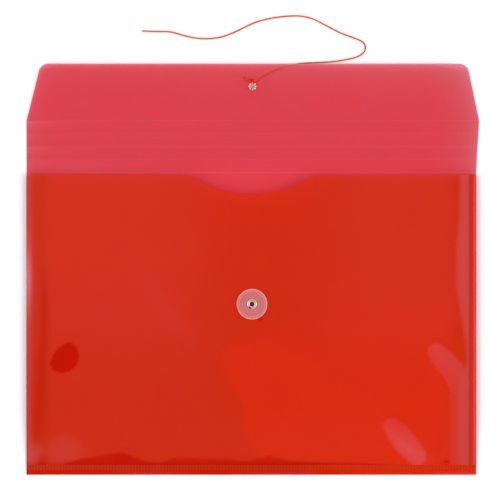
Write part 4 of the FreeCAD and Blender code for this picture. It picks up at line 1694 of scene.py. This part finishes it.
        # Painted light: brighter to the right, duller to the left.
        painted_light = 1.4 * ramp(x, 0, 100) - 0.7
        piece = FilmSheet(name, middle, y - places.score_y, places.film, haze=haze, wet=cling,
                          painted_light=painted_light, cuts=(Rim.LAST_ROW,)).build(finishes)
        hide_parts("bottom_seam")
        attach(piece, Panel.BODY.value)


# ---------------------------------------------------------------- button
@dataclass
class Button:
    """The moulded disc that the string is wound round, on its hollow rivet."""

    centre: Vector
    disc_radius: float = 12.4 * MM
    hub: float = 5.5 * MM
    step: float = 8.9 * MM
    bore: float = 2.45 * MM
    foot: float = 6.3 * MM
    thickness: float = 0.95 * MM
    land_rise: float = 0.3 * MM
    rim_rise: float = 0.25 * MM
    rim_width: float = 0.7 * MM
    lift: float = 0.7 * MM
    rivet_bore: float = 2.0 * MM
    rivet_wall: float = 0.4 * MM
    head_radius: float = 3.95 * MM
    clinch_radius: float = 3.2 * MM
    clinch_rise: float = 0.5 * MM
    washer_under: float = 5.5 * MM
    mark_radius: float = 6.6 * MM   # of the mould mark round the disc
    seat_gap: float = 0.05 * MM     # between the disc and the rivet's head
    head_rise: float = 0.5 * MM
    clinch_round: float = 0.3 * MM
    seam_degrees: float = -118.0    # where the rivet's head has torn

    def build(self, finishes: Finishes, washer: Object) -> None:
        """Makes disc and rivet and dresses the frame's washer."""
        self._disc(finishes)
        self._rivet(finishes)
        dress(washer, finishes.metal)

    def _disc(self, finishes: Finishes) -> None:
        """The disc, with rounded edges and a raised land and rim."""
        middle = self.foot + self.thickness
        land = middle + self.land_rise
        rim = land + self.rim_rise
        outer, slope = self.disc_radius, self.land_rise
        corners = [
            (self.bore, self.foot), (self.hub, self.foot), (self.hub + self.lift, self.foot + self.lift),
            (outer - slope, self.foot + self.lift), (outer, self.foot + self.lift + slope),
            (outer, rim - slope), (outer - slope, rim), (outer - self.rim_width, rim),
            (outer - self.rim_width - self.rim_rise, land), (self.step + slope, land),
            (self.step, middle), (self.bore, middle),
        ]
        profile = stepped(rounded(corners, 0.18 * MM), 0.35 * MM)

        rings = (       # milkiness, and the radii between which it sets in
            (0.135, self.step + 0.2 * MM, self.step + 0.8 * MM),
            (0.115, self.step - 0.3 * MM, self.step - 0.9 * MM),
            (0.85, outer - 0.45 * MM, outer - 0.2 * MM),
        )

        def milky(points: Array) -> Array:
            """Milky in rings: the rim most, the step and one mould mark least."""
            radius = np.hypot(points[:, 0], points[:, 1])
            total = sum(strength * ease(radius, start, end) for strength, start, end in rings)
            return np.clip(total - 0.07 * hump(radius, self.mark_radius, 0.45 * MM), 0, 1)

        disc = turned_piece("button_disc_moulded", profile, self.centre.x, self.centre.y, 96,
                            finishes.disc, haze=milky)
        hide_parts("button_disc")
        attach(disc, Panel.BUTTON.value)

    def _rivet(self, finishes: Finishes) -> None:
        """The hollow rivet, its head rolled over and split at one place."""
        seat = self.foot + self.thickness + self.seat_gap
        tube = self.rivet_bore + self.rivet_wall
        end = self.washer_under - self.clinch_rise
        head = []
        wide = (self.head_radius - self.rivet_bore) / 2
        mid = self.rivet_bore + wide
        for turn in np.radians(np.linspace(-20, 200, 17)):
            head.append((mid + wide * math.cos(turn),
                         seat + self.head_rise / 2 + self.head_rise * math.sin(turn)))
        clinch = []
        low_wide = (self.clinch_radius - self.rivet_bore) / 2
        for turn in np.radians(np.linspace(180, 360, 9)):
            clinch.append((self.rivet_bore + low_wide + low_wide * math.cos(turn),
                           end + self.clinch_round * (1 + math.sin(turn))))
        profile = [*clinch, (self.clinch_radius, self.washer_under), (tube, self.washer_under),
                   (tube, seat), (self.head_radius - 0.3 * MM, seat), *head]

        def seam(points: Array) -> Array:
            """1 in the short seam where the rolled head has torn, and 0 outside it."""
            angle = np.degrees(np.arctan2(points[:, 1], points[:, 0]))
            out = np.hypot(points[:, 0], points[:, 1])
            near = ease(np.abs(angle - self.seam_degrees), 32, 22) * (points[:, 2] > seat + 0.1 * MM)
            return near * ramp(out, 2.6, 2.85) * ramp(out, 3.9, 3.7)

        def split(points: Array) -> Array:
            """Presses the rolled head down at its seam."""
            points[:, 2] -= seam(points) * 0.4 * MM
            return points

        # The seam is pressed down and painted near-black: painted shade in the split.
        rivet = turned_piece("button_rivet_rolled", profile, self.centre.x, self.centre.y, 96,
                             finishes.metal, haze=seam, shift=split)
        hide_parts("button_rivet")
        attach(rivet, Panel.FRONT.value)


# ---------------------------------------------------------------- eyelet
@dataclass
class Eyelet:
    """Hollow eyelet whose end is split into petals and curled down on the flap."""

    centre: Vector
    places: Places
    bore: float = 1.42 * MM
    wall: float = 0.28 * MM
    radius: float = 3.45 * MM
    stand: float = 1.8 * MM
    flange: float = 0.45 * MM
    petals: int = 8
    petal_rise: float = 0.55 * MM
    split_degrees: float = 30.0

    def build(self, finishes: Finishes) -> None:
        """Makes tube and flange as one turned piece and the petals by Geometry Nodes."""
        film = self.places.film
        under = -self.stand
        tube = self.bore + self.wall
        corners = [
            (self.bore, under), (self.radius, under), (self.radius, under + self.flange),
            (tube, under + self.flange), (tube, film + 0.1 * MM), (tube - 0.1 * MM, film + self.petal_rise),
            (self.bore + 0.1 * MM, film + self.petal_rise * 0.8), (self.bore, film),
        ]
        barrel = turned_piece("eyelet_tube", rounded(corners, 0.14 * MM), 0, 0, 64, finishes.metal)
        petals = self._petals(finishes)
        for piece in (barrel, petals):
            self._lay(piece)
            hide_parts("flap_eyelet")
            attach(piece, Panel.FLAP.value)
        LOG.info("eyelet: tube and %d petals", self.petals)

    def _lay(self, piece: Object) -> None:
        """Moves a piece made about the film's lower face to its place on the sloping flap."""
        along = self.centre.y - self.places.score_y
        points = np.array([v.co for v in piece.data.vertices])
        y = points[:, 1] + along
        z = points[:, 2] - self.places.film
        cos, sin = math.cos(FLAP_SLOPE), math.sin(FLAP_SLOPE)
        shift_y = self.centre.y - (self.places.score_y + along * cos)
        moved = np.stack([points[:, 0] + self.centre.x,
                          self.places.score_y + y * cos - z * sin + shift_y,
                          self.places.film + y * sin + z * cos], axis=1)
        piece.data.vertices.foreach_set("co", moved.ravel())
        piece.data.update()

    def _petals(self, finishes: Finishes) -> Object:
        """One petal, repeated round the tube by Geometry Nodes."""
        film = self.places.film
        tube = self.bore + self.wall * 0.6
        reach = self.radius - tube
        middle = []
        for out in np.linspace(0, 1, 9):
            radius = tube + reach * out
            height = film + 0.12 * MM + (self.petal_rise - 0.15 * MM) * math.cos(out * math.pi / 2) ** 0.8
            open_angle = math.radians(360 / self.petals / 2 - 0.8 - self.split_degrees / 2 * out ** 0.8)
            point = 1 - 0.35 * max(0.0, out - 0.7) / 0.3
            row = []
            for share in np.linspace(-1, 1, 7):
                far = radius * (1 - 0.10 * out * share ** 2)
                turn = open_angle * share * point
                row.append((far * math.cos(turn), far * math.sin(turn), height - 0.05 * MM * share * share))
            middle.append(row)
        grid = np.array(middle).transpose(1, 0, 2)
        sheet = FilmSheet("eyelet_petals", grid, np.zeros(grid.shape[:2]), 0.2 * MM)
        petal = sheet.build(finishes)
        dress(petal, finishes.metal)
        petal.data.polygons.foreach_set("material_index", np.zeros(len(petal.data.polygons), np.int32))
        petal.data = self.petal_tree().run(petal, {"Petals": self.petals, "Metal": finishes.metal})
        return petal

    @staticmethod
    def petal_tree() -> ShapeTree:
        """Geometry Nodes tree that repeats a petal round the upright axis.

        Returns:
            The tree, whose inputs are Geometry (the petal), Petals and Metal.
        """
        tree = ShapeTree("petal_ring", {"Geometry": "Geometry", "Petals": "Int", "Metal": "Material"})
        given, add = tree.given, tree.add
        line = add("GeometryNodeMeshLine", {"Count": given["Petals"], "Offset": (0, 0, 0)})
        share = tree.sum("DIVIDE", add("GeometryNodeInputIndex").outputs[0], given["Petals"])
        rotation = add("CombineXYZ", {2: tree.sum("MULTIPLY", share, FULL_TURN)})
        uneven = add("FunctionNodeRandomValue", {
            "Min": (0.90, 0.85, 0.95), "Max": (1.0, 1.1, 1.15), "Seed": 5}, data_type="FLOAT_VECTOR")
        ring = add("GeometryNodeInstanceOnPoints", {
            "Points": line.outputs[0], "Instance": given["Geometry"],
            "Rotation": rotation.outputs[0], "Scale": uneven.outputs["Value"]})
        tree.finish(ring.outputs[0], "Metal")
        return tree


# ---------------------------------------------------------------- studio
@dataclass
class Studio:
    """White table in a light tent, two soft lamps and the camera above."""

    view_x: float = -1.06 * MM
    view_y: float = 60.3 * MM
    view_width: float = 409.4 * MM
    view_height: float = 3.0
    object_height: float = 3.0 * MM
    sensor: float = 36.0
    floor_size: float = 24.0
    floor_gap: float = 0.05 * MM
    floor_colour: Colour = (0.97, 0.97, 0.97)
    lamps: tuple[tuple[str, float, float, float, float], ...] = (
        # name, degrees off the vertical, degrees round from +X, soft angle, strength
        ("left_lamp", 40.0, 172.0, 26.0, 0.5),
        ("right_lamp", 38.0, -8.0, 26.0, 0.5),
    )
    tent_light: tuple[tuple[float, float], ...] = (
        # height of the direction from 0 at the horizon to 1 overhead, share of the light there
        (0.0, 0.75), (0.45, 0.85), (0.62, 1.0), (0.84, 1.0), (0.95, 0.04), (1.0, 0.015),
    )
    tent_gain: float = 1.38

    def build(self) -> None:
        """Sets up floor, world, lamps and camera."""
        self._floor()
        self._world()
        for lamp in self.lamps:
            self._lamp(*lamp)
        self._camera()
        scene = bpy.context.scene
        scene.view_settings.view_transform = "Standard"
        scene.cycles.transparent_max_bounces = 32
        LOG.info("studio: floor, world, %d lamps, camera", len(self.lamps))

    def _floor(self) -> None:
        """A plain white table top under the wallet."""
        half = self.floor_size / 2
        mesh = bpy.data.meshes.new("floor")
        corners = [(-half, -half), (half, -half), (half, half), (-half, half)]
        mesh.from_pydata([(x, y, -self.floor_gap) for x, y in corners], [], [(0, 1, 2, 3)])
        tree = PaintTree("white_table")
        mesh.materials.append(tree.finish(tree.add("BsdfDiffuse", {"Color": (*self.floor_colour, 1)})))
        new_piece("floor", mesh)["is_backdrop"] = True

    def _world(self) -> None:
        """A white light tent with a dark opening overhead for the camera."""
        world = bpy.data.worlds.new("studio")
        world.use_nodes = True
        tree = Tree(world.node_tree)
        way = tree.add("TexCoord").outputs["Generated"]
        shade = tree.add("FloatCurve", {"Value": tree.add("SeparateXYZ", {0: way}).outputs[2]})
        curve = shade.mapping.curves[0]
        for number, (height, light_there) in enumerate(self.tent_light):
            if number < 2:
                curve.points[number].location = (height, light_there)
            else:
                curve.points.new(height, light_there)
        shade.mapping.update()
        strength = tree.sum("MULTIPLY", shade.outputs[0], self.tent_gain)
        light = tree.add("Background", {"Strength": strength})
        tree.add("OutputWorld", {0: light.outputs[0]})
        bpy.context.scene.world = world

    @staticmethod
    def _lamp(name: str, lean: float, round_from_x: float, soft: float, strength: float) -> None:
        """A far soft lamp."""
        lamp = bpy.data.lights.new(name, "SUN")
        lamp.angle = math.radians(soft)
        lamp.energy = strength
        holder = bpy.data.objects.new(name, lamp)
        bpy.context.scene.collection.objects.link(holder)
        turn, off = math.radians(round_from_x), math.radians(lean)
        way = Vector((math.cos(turn) * math.sin(off), math.sin(turn) * math.sin(off), math.cos(off)))
        holder.rotation_mode = "QUATERNION"
        holder.rotation_quaternion = way.to_track_quat("Z", "Y")
        holder.location = way * 2.0

    def _camera(self) -> None:
        """Straight down on the wallet, at the photograph's framing."""
        camera = bpy.data.cameras.new("camera")
        camera.sensor_width = self.sensor
        camera.lens = self.sensor * (self.view_height - self.object_height) / self.view_width
        camera.clip_end = 100.0
        holder = bpy.data.objects.new("camera", camera)
        holder.location = (self.view_x, self.view_y, self.view_height)
        bpy.context.scene.collection.objects.link(holder)
        bpy.context.scene.camera = holder


def middle_of(node: str) -> Vector:
    """The middle of a frame node's box."""
    low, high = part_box(node)
    return (low + high) / 2


def plain(bounds: object) -> list:
    """Bounds as plain lists of numbers."""
    return [[float(value) for value in corner] for corner in bounds]


def main() -> None:
    """Builds the wallet's looks in order and reports each piece."""
    logging.basicConfig(level=logging.INFO, format="%(message)s")
    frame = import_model()
    frame_box = plain(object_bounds())
    places = Places.from_frame()
    Studio().build()
    finishes = Finishes.build()
    eyelet = middle_of("flap_eyelet")
    rivet = middle_of("button_rivet")
    TieString(eyelet).build(finishes)
    pocket = PocketShape(places)
    flap = FlapFilm(FlapShape(places), pocket, eyelet)
    BackFilm(pocket, places.score_y + flap.first_cut).build(finishes)
    BottomWeld(places).build(finishes)
    for side in Side:
        Gusset(pocket, side).build(finishes)
    FrontFilm(pocket, rivet).build(finishes)
    flap.build(finishes)
    Button(rivet).build(finishes, frame["nodes"]["rivet_washer"])
    Eyelet(eyelet, places).build(finishes)
    {"frame": frame_box, "looks": plain(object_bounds())}


if __name__ == "__main__":
    main()
